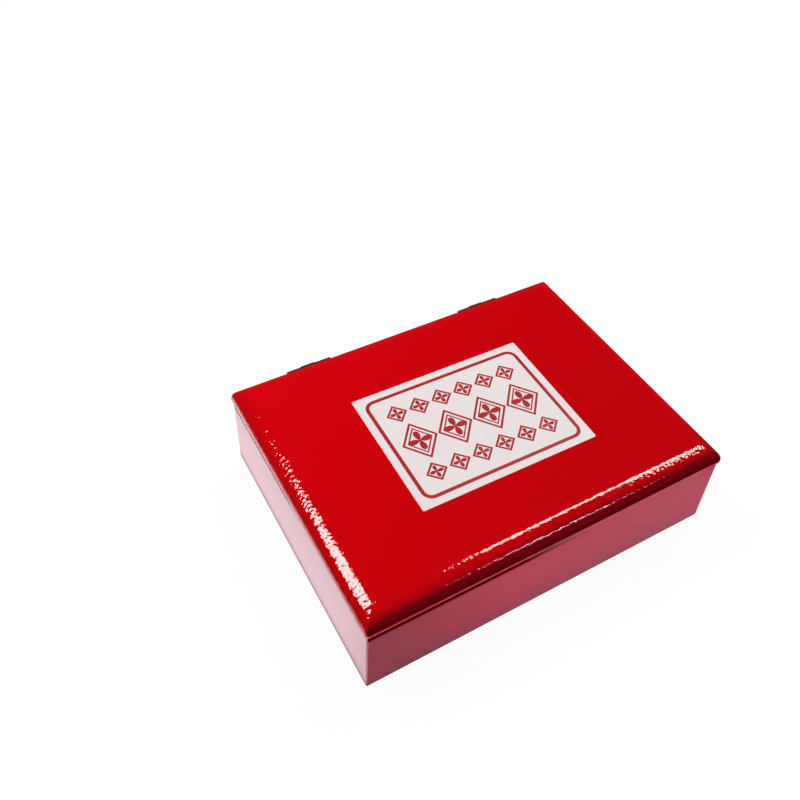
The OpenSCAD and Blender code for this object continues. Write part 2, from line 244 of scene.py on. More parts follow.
def effect(**inputs: str) -> Callable:
    """Turns a function that draws an effect into one that builds its node group once.

    Args:
        inputs: Socket type by input name, in the order in which the function takes them.

    Returns:
        The decorator, for a function that takes a graph and its inputs and returns the outputs by name.
    """

    def decorate(draw: Callable[..., dict[str, Value]]) -> Callable[[], bpy.types.NodeTree]:
        """Wraps a function.

        Args:
            draw: The function that draws the effect.

        Returns:
            The function that returns the effect's group.
        """

        def group() -> bpy.types.NodeTree:
            """Builds the group on the first call.

            Returns:
                The group.
            """
            tree = bpy.data.node_groups.get(draw.__name__)
            if tree:
                return tree
            tree = bpy.data.node_groups.new(draw.__name__, "ShaderNodeTree")
            graph = Graph(tree)
            for name, kind in inputs.items():
                tree.interface.new_socket(name=name, in_out="INPUT", socket_type=kind)
            entry = graph.add("NodeGroupInput")
            outputs = draw(graph, *[entry[name] for name in inputs])
            for name in outputs:
                tree.interface.new_socket(name=name, in_out="OUTPUT", socket_type=FLOAT)
            graph.add("NodeGroupOutput", outputs)
            return tree

        return group

    return decorate


@effect(Place=VECTOR, Size=FLOAT)
def pebble_grain(graph: Graph, place: Value, size: Value) -> dict[str, Value]:
    """An embossed pebble grain: rounded cells with narrow valleys.

    Args:
        graph: The group's graph.
        place: The point.
        size: The size of a pebble.

    Returns:
        The height.
    """
    sway_scale, sway, roundness, uneven = 600.0, 0.6 * MM, 0.35, 0.3
    swaying = graph.add("ShaderNodeTexNoise", {"Vector": place, "Scale": sway_scale, "Detail": 1.0})["Color"]
    scaled = graph.scaled(graph.vector("MULTIPLY_ADD", swaying, (sway,) * 3, place), size)
    valleys = graph.cells(scaled, 1.0, "SMOOTH_F1", Smoothness=roundness)
    return {"Height": graph.noise(scaled, 2.2) * uneven + (1.0 - valleys)}


@effect(Place=VECTOR, Size=FLOAT)
def drift(graph: Graph, place: Value, size: Value) -> dict[str, Value]:
    """A slow unevenness, as of dye, handling or dust.

    Args:
        graph: The group's graph.
        place: The point.
        size: The size of a patch.

    Returns:
        The mask, from 0 to 1.
    """
    fine_scale, fine_share = 5.0, 0.15
    scaled = graph.scaled(place, size)
    broad = graph.noise(scaled, 1.0, 3.0, 0.55)
    fine = graph.noise(scaled, fine_scale, 1.0)
    return {"Mask": (fine * fine_share + broad).span(0.1, 1.0)}


@effect(Place=VECTOR, Thread=VECTOR)
def satin_weave(graph: Graph, place: Value, thread: Value) -> dict[str, Value]:
    """A satin weave: long floats that pass over seven threads and under the eighth.

    Args:
        graph: The group's graph.
        place: The point.
        thread: The width of a thread, three times over.

    Returns:
        The height, and the mask of the dips between the floats.
    """
    repeat, step, dip_from, dip_depth = 8.0, 3 / 8, 0.36, 0.8
    along, across, up = graph.split(graph.vector("DIVIDE", place, thread))
    across = across + up
    shift = graph.math("FRACT", graph.math("FLOOR", across) * step)
    float_at = graph.math("FRACT", along / repeat + shift)
    dip = abs(float_at - 0.5).span(dip_from, 0.5)
    ridge = abs(graph.math("FRACT", across) - 0.5)
    return {"Height": 1.0 - (ridge * 2.0) ** 2.0 - dip * dip_depth, "Dip": dip}


# Finishes


def new_material(name: str) -> tuple[bpy.types.Material, Graph]:
    """Makes a bare material.

    Args:
        name: Its name.

    Returns:
        The material and its graph.
    """
    material = bpy.data.materials.new(name)
    material.use_nodes = True
    return material, Graph(material.node_tree)


def dimmed(colour: Colour, share: float) -> Colour:
    """Returns a colour at a share of its strength."""
    return tuple(part * share for part in colour)


@dataclass(frozen=True)
class Finish:
    """A surface finish, with the record's slot that it stands for.

    In the finishes a scale is the number of waves or cells to a metre, a tone's size is
    that of the patches in which the colour drifts, and a relief is the depth of the bumps.
    """

    name: str
    slot: str

    def material(self) -> bpy.types.Material:
        """Builds the material once.

        Returns:
            The material.
        """
        known = bpy.data.materials.get(self.name)
        if known:
            return known
        material, graph = new_material(self.name)
        shader = graph.add("ShaderNodeBsdfPrincipled")
        place = graph.add("ShaderNodeTexCoord")["Object"]
        graph.fill(shader.node, self.paint(graph, place))
        graph.add("ShaderNodeOutputMaterial", {"Surface": shader[0]})
        return material

    def paint(self, graph: Graph, place: Value) -> dict[str, object]:
        """Says how the surface looks.

        Args:
            graph: The material's graph.
            place: The point's place on the piece.

        Returns:
            The inputs of its Principled shader by name.
        """
        raise NotImplementedError


@dataclass(frozen=True)
class PaintedBand:
    """A band of painted light or shade round the box: darker where a fold lies in shade,
    lighter where an edge mirrors the bright floor.

    The foot gives the heights between which it comes, the head those between which it
    goes, above the level of its leatherette, with another head at the right end if one
    is given. Front and side give its strength at the first and second point across and
    along. On the front and back it fades towards the back.
    """

    foot: Pair
    head: Pair
    head_right: Pair | None = None
    colour: Colour = (0.17, 0.0, 0.004)
    front: Pair = (1.0, 1.0)
    side: Pair = (1.0, 1.0)
    across: Pair = (-40 * MM, 15 * MM)
    along: Pair = (-15 * MM, 5 * MM)
    fade: Pair = (-40 * MM, -22 * MM)
    dull: Pair = (0.9 * MM, 2.0 * MM)
    dulled: float = 1.0

    def mask(self, graph: Graph, place: tuple[Value, Value, Value], left: Value) -> Value:
        """Returns how strong the band is at a point.

        Args:
            graph: The material's graph.
            place: The point, its height above the level.
            left: The mask of the left side.

        Returns:
            The strength, from 0 to 1.
        """
        x, y, z = place
        still, end = (x.span(*self.across, *heads) for heads in zip(self.head, self.head_right or self.head))
        body = z.span(*self.foot) * z.span(still, end, 1.0, 0.0)
        front = x.span(*self.across, *self.front) * y.span(*self.fade, 1.0, 0.0)
        return body * graph.mix(left, front, y.span(*self.along, *self.side))

    def matt(self, height: Value, mask: Value) -> Value:
        """Returns the share of the gloss that the band's lower part has lost."""
        return mask * height.span(self.foot[0] + self.dull[0], self.foot[0] + self.dull[1], self.dulled, 0.0)


@dataclass(frozen=True)
class Leatherette(Finish):
    """Paper-backed red leatherette with a pebble grain under a clear gloss.

    The corners of its field are the covering's own, and the level is the height from
    which its painted bands of light and shade count. The border is where the sheet bends
    over an edge: the grain is deep there, and deepest towards the right end, where the
    sheet is bunched. The front, left, corner and far colours are painted light and shade:
    the front skin painted lighter, the left side, the front's left end and the far end
    painted darker.
    """

    colour: Colour
    deep: Colour
    roughness: float
    painted_bands: tuple[PaintedBand, ...]
    coat: float = 0.0
    coat_roughness: float = 0.05
    specular: float = 0.5
    field: tuple[Vector, Vector] = (Vector(), Vector())
    level: float = 0.0
    tone_size: float = 18 * MM
    grain: float = 1.2 * MM
    depth: float = 0.0
    border: Pair = (4.2 * MM, 6.0 * MM)
    mitre: float = 0.3 * MM
    calm: float = 0.02
    taut: float = 0.6
    bunched: float = 0.8
    ends: Pair = (12 * MM, 58 * MM)
    wander: float = 10 * MM
    wander_scale: float = 130.0
    wave: float = 0.004 * MM
    wave_scale: float = 400.0
    roll: float = 0.0
    rolled: Pair = (3.5 * MM, 5.4 * MM)
    far: Colour | None = None
    far_shade_way: Point = (0.85, -0.5, 0.0)
    far_shade_span: Pair = (-60 * MM, 50 * MM)
    front_painted_light: Colour | None = None
    front_skin: Pair = (0.4 * MM, 0.7 * MM)
    left_painted_shade: Colour | None = None
    corner: Colour | None = None
    corner_shade_reach: float = 45 * MM

    def left_side(self, x: Value, y: Value) -> Value:
        """Returns the mask of the left side up to its mitres, from the distances to left and front."""
        behind = (self.field[1] - self.field[0]).y - y
        return (y.least(behind) - x).span(-self.mitre, self.mitre) * x.span(*self.border, 1.0, 0.0)

    def relief(self, graph: Graph, place: Value, x: Value, y: Value, left: Value) -> Value:
        """Gives the drawn sheet its form: a slow wave, the foam's roll behind the front edge, and the grain.

        Args:
            graph: The material's graph.
            place: The point.
            x: Its distance from the left side.
            y: Its distance from the front.
            left: The mask of the left side.

        Returns:
            The normal.
        """
        normal = graph.bump(graph.noise(place, self.wave_scale, 1.0), self.wave)
        if self.roll:
            normal = graph.bump(y.span(*self.rolled), self.roll, under=normal)
        if self.depth:
            wander = graph.noise(place, self.wander_scale, 1.0) * self.wander
            from_right = (self.field[1] - self.field[0]).x - x + wander
            front = y.span(*self.border, 1.0, 0.0) * from_right.span(*self.ends, self.bunched, self.taut)
            crushed = left.most(front).most(self.calm)
            cells = graph.shared(pebble_grain(), Place=place, Size=self.grain)["Height"]
            normal = graph.bump(cells * crushed, self.depth, under=normal)
        return normal

    def dye_and_painted_light(self, graph: Graph, place: Value, x: Value, y: Value, left: Value) -> Value:
        """Colours the sheet, with the painted light and shade of its sides, but without its painted bands.

        Args:
            graph: The material's graph.
            place: The point.
            x: Its distance from the left side.
            y: Its distance from the front.
            left: The mask of the left side.

        Returns:
            The colour.
        """
        dye_and_painted_light = graph.blend(graph.drift(place, self.tone_size) * 0.5, self.colour, self.deep)
        # Painted shade: the far colour darkens the sheet towards the lid's front right end.
        if self.far:
            across = graph.vector("DOT_PRODUCT", place, self.far_shade_way)
            dye_and_painted_light = graph.blend(across.span(*self.far_shade_span), dye_and_painted_light, self.far)
        # Painted light: the front skin is coloured brighter than the sheet's own colour.
        if self.front_painted_light:
            dye_and_painted_light = graph.blend(y.span(*self.front_skin, 1.0, 0.0), dye_and_painted_light, self.front_painted_light)
        # Painted shade: the left side is coloured darker than the sheet's own colour.
        if self.left_painted_shade:
            dye_and_painted_light = graph.blend(left, dye_and_painted_light, self.left_painted_shade)
        # Painted shade: the corner colour darkens the front's left end.
        if self.corner:
            near = y.span(*self.border, 1.0, 0.0) * x.span(0.0, self.corner_shade_reach, 1.0, 0.0)
            dye_and_painted_light = graph.blend(near * (1.0 - left), dye_and_painted_light, self.corner)
        return dye_and_painted_light

    def paint(self, graph: Graph, place: Value) -> dict[str, object]:
        """Says how the leatherette looks.

        Args:
            graph: The material's graph.
            place: The point's place on the piece.

        Returns:
            The inputs of its Principled shader by name.
        """
        x, y, _ = graph.split(graph.vector("SUBTRACT", place, tuple(self.field[0])))
        left = self.left_side(x, y)
        dye_and_painted_light = self.dye_and_painted_light(graph, place, x, y, left)
        lifted = graph.split(graph.vector("SUBTRACT", place, (0.0, 0.0, self.level)))
        gloss = 1.0
        # Each band paints shade or light: the shoulder and the seam darker, the lid's lower edge lighter.
        for shade in self.painted_bands:
            mask = shade.mask(graph, lifted, left)
            dye_and_painted_light = graph.blend(mask, dye_and_painted_light, shade.colour)
            if shade.dulled:
                gloss = graph.math("SUBTRACT", gloss, shade.matt(lifted[2], mask), clamp=True)
        normal = self.relief(graph, place, x, y, left)
        return {
            "Base Color": dye_and_painted_light, "Roughness": self.roughness,
            "Specular IOR Level": gloss * self.specular if self.specular else 0.0,
            "Coat Weight": gloss * self.coat if self.coat else 0.0, "Coat Roughness": self.coat_roughness,
            "Normal": normal, "Coat Normal": normal,
        }


@dataclass(frozen=True)
class Row:
    """A row of lozenges on the label, in millimetres.

    The row has its height on the label, the distance from lozenge to lozenge, their
    number, half a lozenge's width and height, and half the thickness of its outline as
    a share of its size.
    """

    at: float
    pitch: float
    count: int
    half: Pair
    line: float
    plump: float = 0.62

    def mask(self, graph: Graph, place: Value) -> Value:
        """Returns the mask of the lozenges, with a four-petalled floret in each.

        Args:
            graph: The material's graph.
            place: The point on the label in millimetres.

        Returns:
            The mask.
        """
        x, y, _ = graph.split(place)
        y = y - self.at
        phase = 0.0 if self.count % 2 else self.pitch / 2
        cell = graph.math("WRAP", x + phase, self.pitch / 2, -self.pitch / 2)
        spread = abs(cell) / self.half[0] + abs(y) / self.half[1]
        outline = graph.math("COMPARE", spread, 1.0 - self.line, self.line)
        far = graph.math("SQRT", cell * cell + y * y)
        arms = abs(cell * cell - y * y)
        petals = (far ** 3.0).below(arms * (min(self.half) * self.plump))
        reach = abs(x).below(self.count * self.pitch / 2)
        return outline.most(petals) * (reach * abs(y).below(self.half[1]))


@dataclass(frozen=True)
class LabelPaper(Finish):
    """Silvery label paper with a line frame and rows of lozenges printed in red.

    The rim, where the paper's edge shows, has its corner radius and its width in millimetres.
    """

    paper: Colour = (0.59, 0.54, 0.535)
    edge: Colour = (0.72, 0.5, 0.51)
    ink: Colour = (0.30, 0.008, 0.012)
    centre: Pair = (0.0, 0.0)
    size: Pair = (55 * MM, 41.6 * MM)
    turn: float = 0.0
    frame_in: float = 2.75 * MM
    frame_r: float = 2.6 * MM
    line: float = 1.1 * MM
    rim_r: float = 0.5
    rim: Pair = (0.1, 0.5)
    thin_ink: float = 0.86
    print_scale: float = 9000.0
    tone_size: float = 9 * MM
    dim: float = 0.93
    tooth: float = 0.004 * MM
    tooth_scale: float = 2500.0
    rows: tuple[Row, ...] = (
        Row(11.2, 7.2, 6, (3.3, 3.3), 0.13),
        Row(0.0, 11.2, 4, (5.5, 6.8), 0.075),
        Row(0.0, 11.2, 4, (3.9, 4.9), 0.07),
        Row(-11.2, 7.2, 6, (3.3, 3.3), 0.13),
    )

    def inside(self, graph: Graph, place: Value, inset: float, corner: float) -> Value:
        """Returns how far a point lies inside a round-cornered frame.

        Args:
            graph: The material's graph.
            place: The point on the label in millimetres.
            inset: The frame's distance from the label's edge in millimetres.
            corner: Its corner radius in millimetres.

        Returns:
            The distance in millimetres.
        """
        half = [side / 2 / MM - inset - corner for side in self.size]
        x, y, _ = graph.split(graph.vector("SUBTRACT", graph.vector("ABSOLUTE", place), (*half, 0.0)))
        out = graph.add("ShaderNodeCombineXYZ", {0: x.most(0.0), 1: y.most(0.0)})[0]
        return corner - (graph.vector("LENGTH", out) + x.most(y).least(0.0))

    def paint(self, graph: Graph, place: Value) -> dict[str, object]:
        """Says how the label looks.

        Args:
            graph: The material's graph.
            place: The point's place on the piece.

        Returns:
            The inputs of its Principled shader by name.
        """
        level = graph.add("ShaderNodeMapping", {
            "Vector": place, "Location": (*[-c / MM for c in self.centre], 0.0), "Scale": (1 / MM,) * 3,
        })[0]
        turned = graph.add("ShaderNodeVectorRotate", {"Vector": level, "Angle": -self.turn},
                           rotation_type="Z_AXIS")[0]
        border = self.inside(graph, turned, self.frame_in / MM, self.frame_r / MM)
        ink = abs(border).below(self.line / 2 / MM)
        for row in self.rows:
            ink = ink.most(row.mask(graph, turned))
        ink = ink * graph.noise(place, self.print_scale, 2.0, 0.7).span(0.2, 0.4, self.thin_ink, 1.0)
        rim = self.inside(graph, turned, 0.0, self.rim_r).span(*self.rim, 1.0, 0.0)
        tone = graph.drift(place, self.tone_size) * 0.5
        sheet = graph.blend(tone, self.paper, dimmed(self.paper, self.dim))
        return {
            "Base Color": graph.blend(ink, graph.blend(rim, sheet, self.edge), self.ink),
            "Roughness": ink * -0.08 + 0.38, "Specular IOR Level": 0.25,
            "Normal": graph.bump(graph.noise(place, self.tooth_scale, 3.0, 0.6), self.tooth),
        }


@dataclass(frozen=True)
class Satin(Finish):
    """Yellow lining satin: long warp floats with a soft sheen."""

    colour: Colour = (0.78, 0.47, 0.07)
    shade: Colour = (0.60, 0.32, 0.035)
    thread: float = 0.16 * MM
    tone_size: float = 14 * MM
    relief: float = 0.025 * MM

    def paint(self, graph: Graph, place: Value) -> dict[str, object]:
        """Says how the satin looks.

        Args:
            graph: The material's graph.
            place: The point's place on the piece.

        Returns:
            The inputs of its Principled shader by name.
        """
        weave = graph.shared(satin_weave(), Place=place, Thread=(self.thread,) * 3)
        cloth = graph.blend(graph.drift(place, self.tone_size) * 0.4, self.colour, self.shade)
        # The dips between the floats are darkened: painted shade in the weave's recesses.
        return {
            "Base Color": graph.blend(weave["Dip"] * 0.5, cloth, self.shade),
            "Roughness": weave["Dip"] * 0.2 + 0.36, "Anisotropic": 0.5,
            "Sheen Weight": 0.35, "Sheen Roughness": 0.3, "Sheen Tint": (1.0, 0.86, 0.5),
            "Normal": graph.bump(weave["Height"], self.relief),
        }


@dataclass(frozen=True)
class Flock(Finish):
    """Short yellow flock on foam."""

    colour: Colour = (0.66, 0.36, 0.045)
    shade: Colour = (0.42, 0.2, 0.02)
    pile_scale: float = 5200.0
    lie_scale: float = 180.0
    nap: float = 0.12 * MM

    def paint(self, graph: Graph, place: Value) -> dict[str, object]:
        """Says how the flock looks.

        Args:
            graph: The material's graph.
            place: The point's place on the piece.

        Returns:
            The inputs of its Principled shader by name.
        """
        pile = graph.noise(place, self.pile_scale, 2.0, 0.7)
        lie = graph.noise(place, self.lie_scale)
        tone = (pile * 0.7 + lie * 0.5).span(0.35, 0.8)
        return {
            "Base Color": graph.blend(tone, self.shade, self.colour), "Roughness": 0.92,
            "Specular IOR Level": 0.2, "Sheen Weight": 0.6, "Sheen Roughness": 0.45,
            "Sheen Tint": (1.0, 0.83, 0.5), "Normal": graph.bump(pile, self.nap),
        }


@dataclass(frozen=True)
class Porcelain(Finish):
    """White glazed porcelain, bare below a foot's height and at the height of a wiped rim."""

    bare_below: float
    bare_at: float
    glaze: Colour = (0.66, 0.675, 0.67)
    biscuit: Colour = (0.60, 0.565, 0.50)
    iron: Colour = (0.35, 0.3, 0.26)
    foot_edge: float = 0.3 * MM
    rim_edge: Pair = (0.05 * MM, 0.2 * MM)
    tone_size: float = 12 * MM
    dim: float = 0.95
    speck_scale: float = 900.0
    peel_scale: float = 350.0
    grit_scale: float = 6000.0
    relief: float = 0.02 * MM

    def paint(self, graph: Graph, place: Value) -> dict[str, object]:
        """Says how the porcelain looks.

        Args:
            graph: The material's graph.
            place: The point's place on the piece.

        Returns:
            The inputs of its Principled shader by name.
        """
        height = graph.split(place)[2]
        foot = height.span(self.bare_below, self.bare_below + self.foot_edge, 1.0, 0.0)
        bare = foot.most(abs(height - self.bare_at).span(*self.rim_edge, 1.0, 0.0))
        tone = graph.drift(place, self.tone_size) * 0.5
        white = graph.blend(tone, self.glaze, dimmed(self.glaze, self.dim))
        specks = graph.noise(place, self.speck_scale, 1.0).span(0.76, 0.8)
        white = graph.blend(specks * 0.4, white, self.iron)
        orange_peel = graph.noise(place, self.peel_scale, 1.0)
        grit = graph.noise(place, self.grit_scale) * bare
        return {
            "Base Color": graph.blend(bare, white, self.biscuit), "Roughness": bare * 0.5 + 0.12,
            "Coat Weight": 0.8 - bare * 0.8, "Coat Roughness": 0.04,
            "Subsurface Weight": 0.08, "Subsurface Scale": 1.5 * MM,
            "Normal": graph.bump(grit * 0.5 + orange_peel, self.relief),
        }


@dataclass(frozen=True)
class Paste(Finish):
    """Oily cinnabar paste with short fibres."""

    colour: Colour = (0.55, 0.018, 0.012)
    deep: Colour = (0.30, 0.006, 0.006)
    fibre_scale: float = 1400.0
    fibre_w: float = 0.18
    lump_scale: float = 450.0
    relief: float = 0.12 * MM

    def paint(self, graph: Graph, place: Value) -> dict[str, object]:
        """Says how the paste looks.

        Args:
            graph: The material's graph.
            place: The point's place on the piece.

        Returns:
            The inputs of its Principled shader by name.
        """
        strands = graph.cells(place, self.fibre_scale, "DISTANCE_TO_EDGE").span(0.0, self.fibre_w)
        lumps = graph.noise(place, self.lump_scale, 3.0, 0.6)
        # Where the lumps are low the paste is darker: painted shade in its hollows.
        return {
            "Base Color": graph.blend(lumps.span(0.3, 0.7), self.deep, self.colour),
            "Roughness": lumps.span(0.35, 0.65, 0.42, 0.24), "Coat Weight": 0.3, "Coat Roughness": 0.2,
            "Normal": graph.bump(strands * 0.4 + lumps, self.relief),
        }


@dataclass(frozen=True)
class Ivory(Finish):
    """Ivory-coloured plastic, streaked along its length."""

    colour: Colour = (0.78, 0.70, 0.52)
    streak: Colour = (0.66, 0.55, 0.36)
    streak_scale: float = 1500.0
    drawn_out: float = 0.06
    wear_scale: float = 700.0
    relief: float = 0.006 * MM

    def paint(self, graph: Graph, place: Value) -> dict[str, object]:
        """Says how the plastic looks.

        Args:
            graph: The material's graph.
            place: The point's place on the piece.

        Returns:
            The inputs of its Principled shader by name.
        """
        drawn = graph.vector("MULTIPLY", place, (1.0, self.drawn_out, 1.0))
        grain = graph.noise(drawn, self.streak_scale, 3.0, 0.55).span(0.4, 0.7)
        return {
            "Base Color": graph.blend(grain, self.colour, self.streak),
            "Roughness": graph.noise(place, self.wear_scale).span(0.3, 0.7, 0.24, 0.36),
            "Subsurface Weight": 0.15, "Subsurface Scale": 0.8 * MM,
            "Normal": graph.bump(grain, self.relief),
        }


@dataclass(frozen=True)
class DrawnMetal(Finish):
    """Metal with fine lines along the length of the hinge, duller where it has tarnished."""

    colour: Colour
    tarnish: Colour
    roughness: float
    line_scale: float = 9000.0
    drawn_out: float = 0.04
    tone_size: float = 4 * MM
    relief: float = 0.004 * MM

    def paint(self, graph: Graph, place: Value) -> dict[str, object]:
        """Says how the metal looks.

        Args:
            graph: The material's graph.
            place: The point's place on the piece.

        Returns:
            The inputs of its Principled shader by name.
        """
        drawn = graph.vector("MULTIPLY", place, (self.drawn_out, 1.0, 1.0))
        lines = graph.noise(drawn, self.line_scale, 2.0, 0.6)
        dull = graph.drift(place, self.tone_size)
        return {
            "Base Color": graph.blend(dull * 0.6, self.colour, self.tarnish), "Metallic": 1.0,
            "Roughness": dull * 0.2 + self.roughness, "Normal": graph.bump(lines, self.relief),
        }


@dataclass(frozen=True)
class Board(Finish):
    """Board pressed from wood fibre or paper, with flecks and a felted surface."""

    colour: Colour = (0.36, 0.22, 0.11)
    fleck: Colour = (0.16, 0.09, 0.045)
    grain: float = 0.5 * MM
    lie: Point = (1.0, 0.4, 1.6)
    tone_size: float = 10 * MM
    relief: float = 0.05 * MM

    def paint(self, graph: Graph, place: Value) -> dict[str, object]:
        """Says how the board looks.

        Args:
            graph: The material's graph.
            place: The point's place on the piece.

        Returns:
            The inputs of its Principled shader by name.
        """
        fibre = graph.noise(graph.vector("MULTIPLY", place, self.lie), 1 / self.grain, 4.0, 0.65)
        flecks = fibre.span(0.48, 0.7) * (graph.drift(place, self.tone_size) * 0.4 + 0.5)
        return {
            "Base Color": graph.blend(flecks, self.colour, self.fleck), "Roughness": 0.85,
            "Normal": graph.bump(fibre, self.relief),
        }


@dataclass(frozen=True)
class Foam(Finish):
    """Open-celled padding foam."""

    colour: Colour = (0.80, 0.72, 0.48)
    pore_shade: Colour = (0.45, 0.36, 0.18)
    cell_scale: float = 2200.0
    relief: float = 0.15 * MM

    def paint(self, graph: Graph, place: Value) -> dict[str, object]:
        """Says how the foam looks.

        Args:
            graph: The material's graph.
            place: The point's place on the piece.

        Returns:
            The inputs of its Principled shader by name.
        """
        cells = graph.cells(place, self.cell_scale, "F1")
        # The pores are darkened: painted shade in the foam's pits.
        return {
            "Base Color": graph.blend(cells.span(0.1, 0.5, 1.0, 0.0), self.colour, self.pore_shade),
            "Roughness": 0.9, "Normal": graph.bump(cells, self.relief),
        }


# The lid's painted bands of light and shade count from the foot of its shoulder, the case's from its rim.
# Painted light: the lid's lower edge on the left side coloured lighter, with half its gloss taken away.
LEFT_EDGE_PAINTED_LIGHT = PaintedBand((-1.3 * MM, -1.2 * MM), (-0.1 * MM, 0.2 * MM), colour=(0.85, 0.004, 0.006),
                  front=(0.0, 0.0), dull=(2 * MM, 3 * MM), dulled=0.5)
# Painted reflection: a paler line along the lid's lower edge, strongest at the front.
LOWER_EDGE_PAINTED_REFLECTION = PaintedBand((-1.3 * MM, -1.2 * MM), (-0.4 * MM, -0.1 * MM), colour=(0.75, 0.05, 0.06),
                  front=(1.0, 0.5), side=(0.3, 0.3), dulled=0.0)
# Painted shade: the lower part of the lid's shoulder darkened, most at the front.
SHOULDER_PAINTED_SHADE = PaintedBand((-0.35 * MM, -0.05 * MM), (1.85 * MM, 3.5 * MM), (2.25 * MM, 3.5 * MM),
                       side=(0.08, 0.08))
# Painted shadow: a dark band on the case's wall just below the lid.
SEAM_PAINTED_SHADOW = PaintedBand((-2.9 * MM, -2.35 * MM), (-0.6 * MM, -0.3 * MM), front=(1.0, 0.0), side=(0.0, 1.0),
                   across=(-10 * MM, 15 * MM), dull=(3 * MM, 4 * MM))
# The case's front skin is painted light, its left side and the front's left end painted shade.
CASE_LEATHERETTE = Leatherette(
    "case_leatherette_finish", "case_leatherette", colour=(0.48, 0.002, 0.014), deep=(0.45, 0.002, 0.012),
    roughness=0.27, painted_bands=(SEAM_PAINTED_SHADOW,), wave=0.0015 * MM, front_painted_light=(0.77, 0.005, 0.049),
    left_painted_shade=(0.40, 0.006, 0.045), corner=(0.45, 0.003, 0.025))
# The lid's far colour is painted shade towards its front right end.
LID_LEATHERETTE = Leatherette(
    "lid_leatherette_finish", "lid_leatherette", colour=(0.465, 0.0003, 0.002), deep=(0.44, 0.0002, 0.003),
    roughness=0.5, painted_bands=(LEFT_EDGE_PAINTED_LIGHT, LOWER_EDGE_PAINTED_REFLECTION, SHOULDER_PAINTED_SHADE), coat=1.0, coat_roughness=0.025,
    specular=0.0, far=(0.398, 0.0002, 0.002), depth=0.075 * MM, roll=0.1 * MM)
SATIN = Satin("satin_finish", "yellow_satin")
FLOCK = Flock("flock_finish", "flocked_foam")
PASTE = Paste("paste_finish", "red_paste")
IVORY = Ivory("ivory_finish", "ivory_plastic")
BRONZE = DrawnMetal("bronze_finish", "hinge_bronze", (0.13, 0.055, 0.035), (0.055, 0.024, 0.017), 0.32)
STEEL = DrawnMetal("steel_finish", "pin_steel", (0.62, 0.62, 0.61), (0.40, 0.38, 0.36), 0.22)
WALL_BOARD = Board("wall_board_finish", "wall_board")
CARD = Board("card_finish", "lining_card", (0.52, 0.47, 0.38), (0.34, 0.30, 0.23), 0.3 * MM)
SHEET_PAPER = Board("sheet_paper_finish", "sheet_paper", (0.045, 0.04, 0.04), (0.09, 0.08, 0.08), 0.35 * MM)
FOAM = Foam("foam_finish", "padding_foam")


# Mesh tools


@dataclass(frozen=True)
class Extent:
    """Where a node of the construction lies."""

    low: Vector
    high: Vector

    @classmethod
    def of(cls, node: str) -> "Extent":
        """Reads the extent of a node."""
        return cls(*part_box(node))

    @property
    def centre(self) -> Vector:
        """The middle."""
        return (self.low + self.high) / 2

    @property
    def size(self) -> Vector:
        """The three lengths."""
        return self.high - self.low


@dataclass(frozen=True)
class Outline:
    """A round-cornered rectangle seen from above."""

    centre: Vector
    length: float
    width: float
    corner_r: float
    corner_steps: int = 6

    @classmethod
    def around(cls, extent: Extent, corner_r: float, corner_steps: int = 6) -> "Outline":
        """Makes the outline of an extent."""
        return cls(extent.centre, extent.size.x, extent.size.y, corner_r, corner_steps)


def arc(middle: Pair, radii: float | Pair, start: float, end: float, steps: int) -> Section:
    """Points along part of a circle or an ellipse in a section.

    Args:
        middle: Its middle, as inset and height.
        radii: Its radius, or its radii across and up.
        start: The first angle in degrees, 0 pointing to a larger inset.
        end: The last angle in degrees.
        steps: The number of stretches.

    Returns:
        The points, both ends among them.
    """
    across, up = radii if isinstance(radii, tuple) else (radii, radii)
    angles = [math.radians(start + (end - start) * step / steps) for step in range(steps + 1)]
    return [(middle[0] + across * math.cos(angle), middle[1] + up * math.sin(angle)) for angle in angles]


def of_kind(geometry: Iterable, kind: type) -> list:
    """Returns the vertices, the edges or the faces among mixed geometry."""
    return [part for part in geometry if isinstance(part, kind)]


def add_block(bm: BMesh, size: Sequence[float], centre: Sequence[float]) -> None:
    """Adds a block to a mesh.

    Args:
        bm: The mesh.
        size: The block's three lengths.
        centre: Its middle.
    """
    verts = bmesh.ops.create_cube(bm, size=1.0)["verts"]
    bmesh.ops.scale(bm, vec=size, verts=verts)
    bmesh.ops.translate(bm, vec=centre, verts=verts)


def ring_at(bm: BMesh, outline: Outline, height: float) -> list[BMEdge]:
    """Draws an outline as a ring of edges.

    Args:
        bm: An empty mesh.
        outline: The outline.
        height: The ring's height.

    Returns:
        The edges.
    """
    add_block(bm, (outline.length, outline.width, 1.0), (outline.centre.x, outline.centre.y, height + 0.5))
    upright = [e for e in bm.edges if abs(e.verts[0].co.z - e.verts[1].co.z) > 0.5]
    bmesh.ops.bevel(bm, geom=upright, offset=outline.corner_r, offset_type="OFFSET", affect="EDGES",
                    segments=outline.corner_steps, profile=0.5, material=-1)
    bmesh.ops.delete(bm, geom=[v for v in bm.verts if v.co.z > height + 0.5], context="VERTS")
    bmesh.ops.delete(bm, geom=bm.faces[:], context="FACES_ONLY")
    return bm.edges[:]


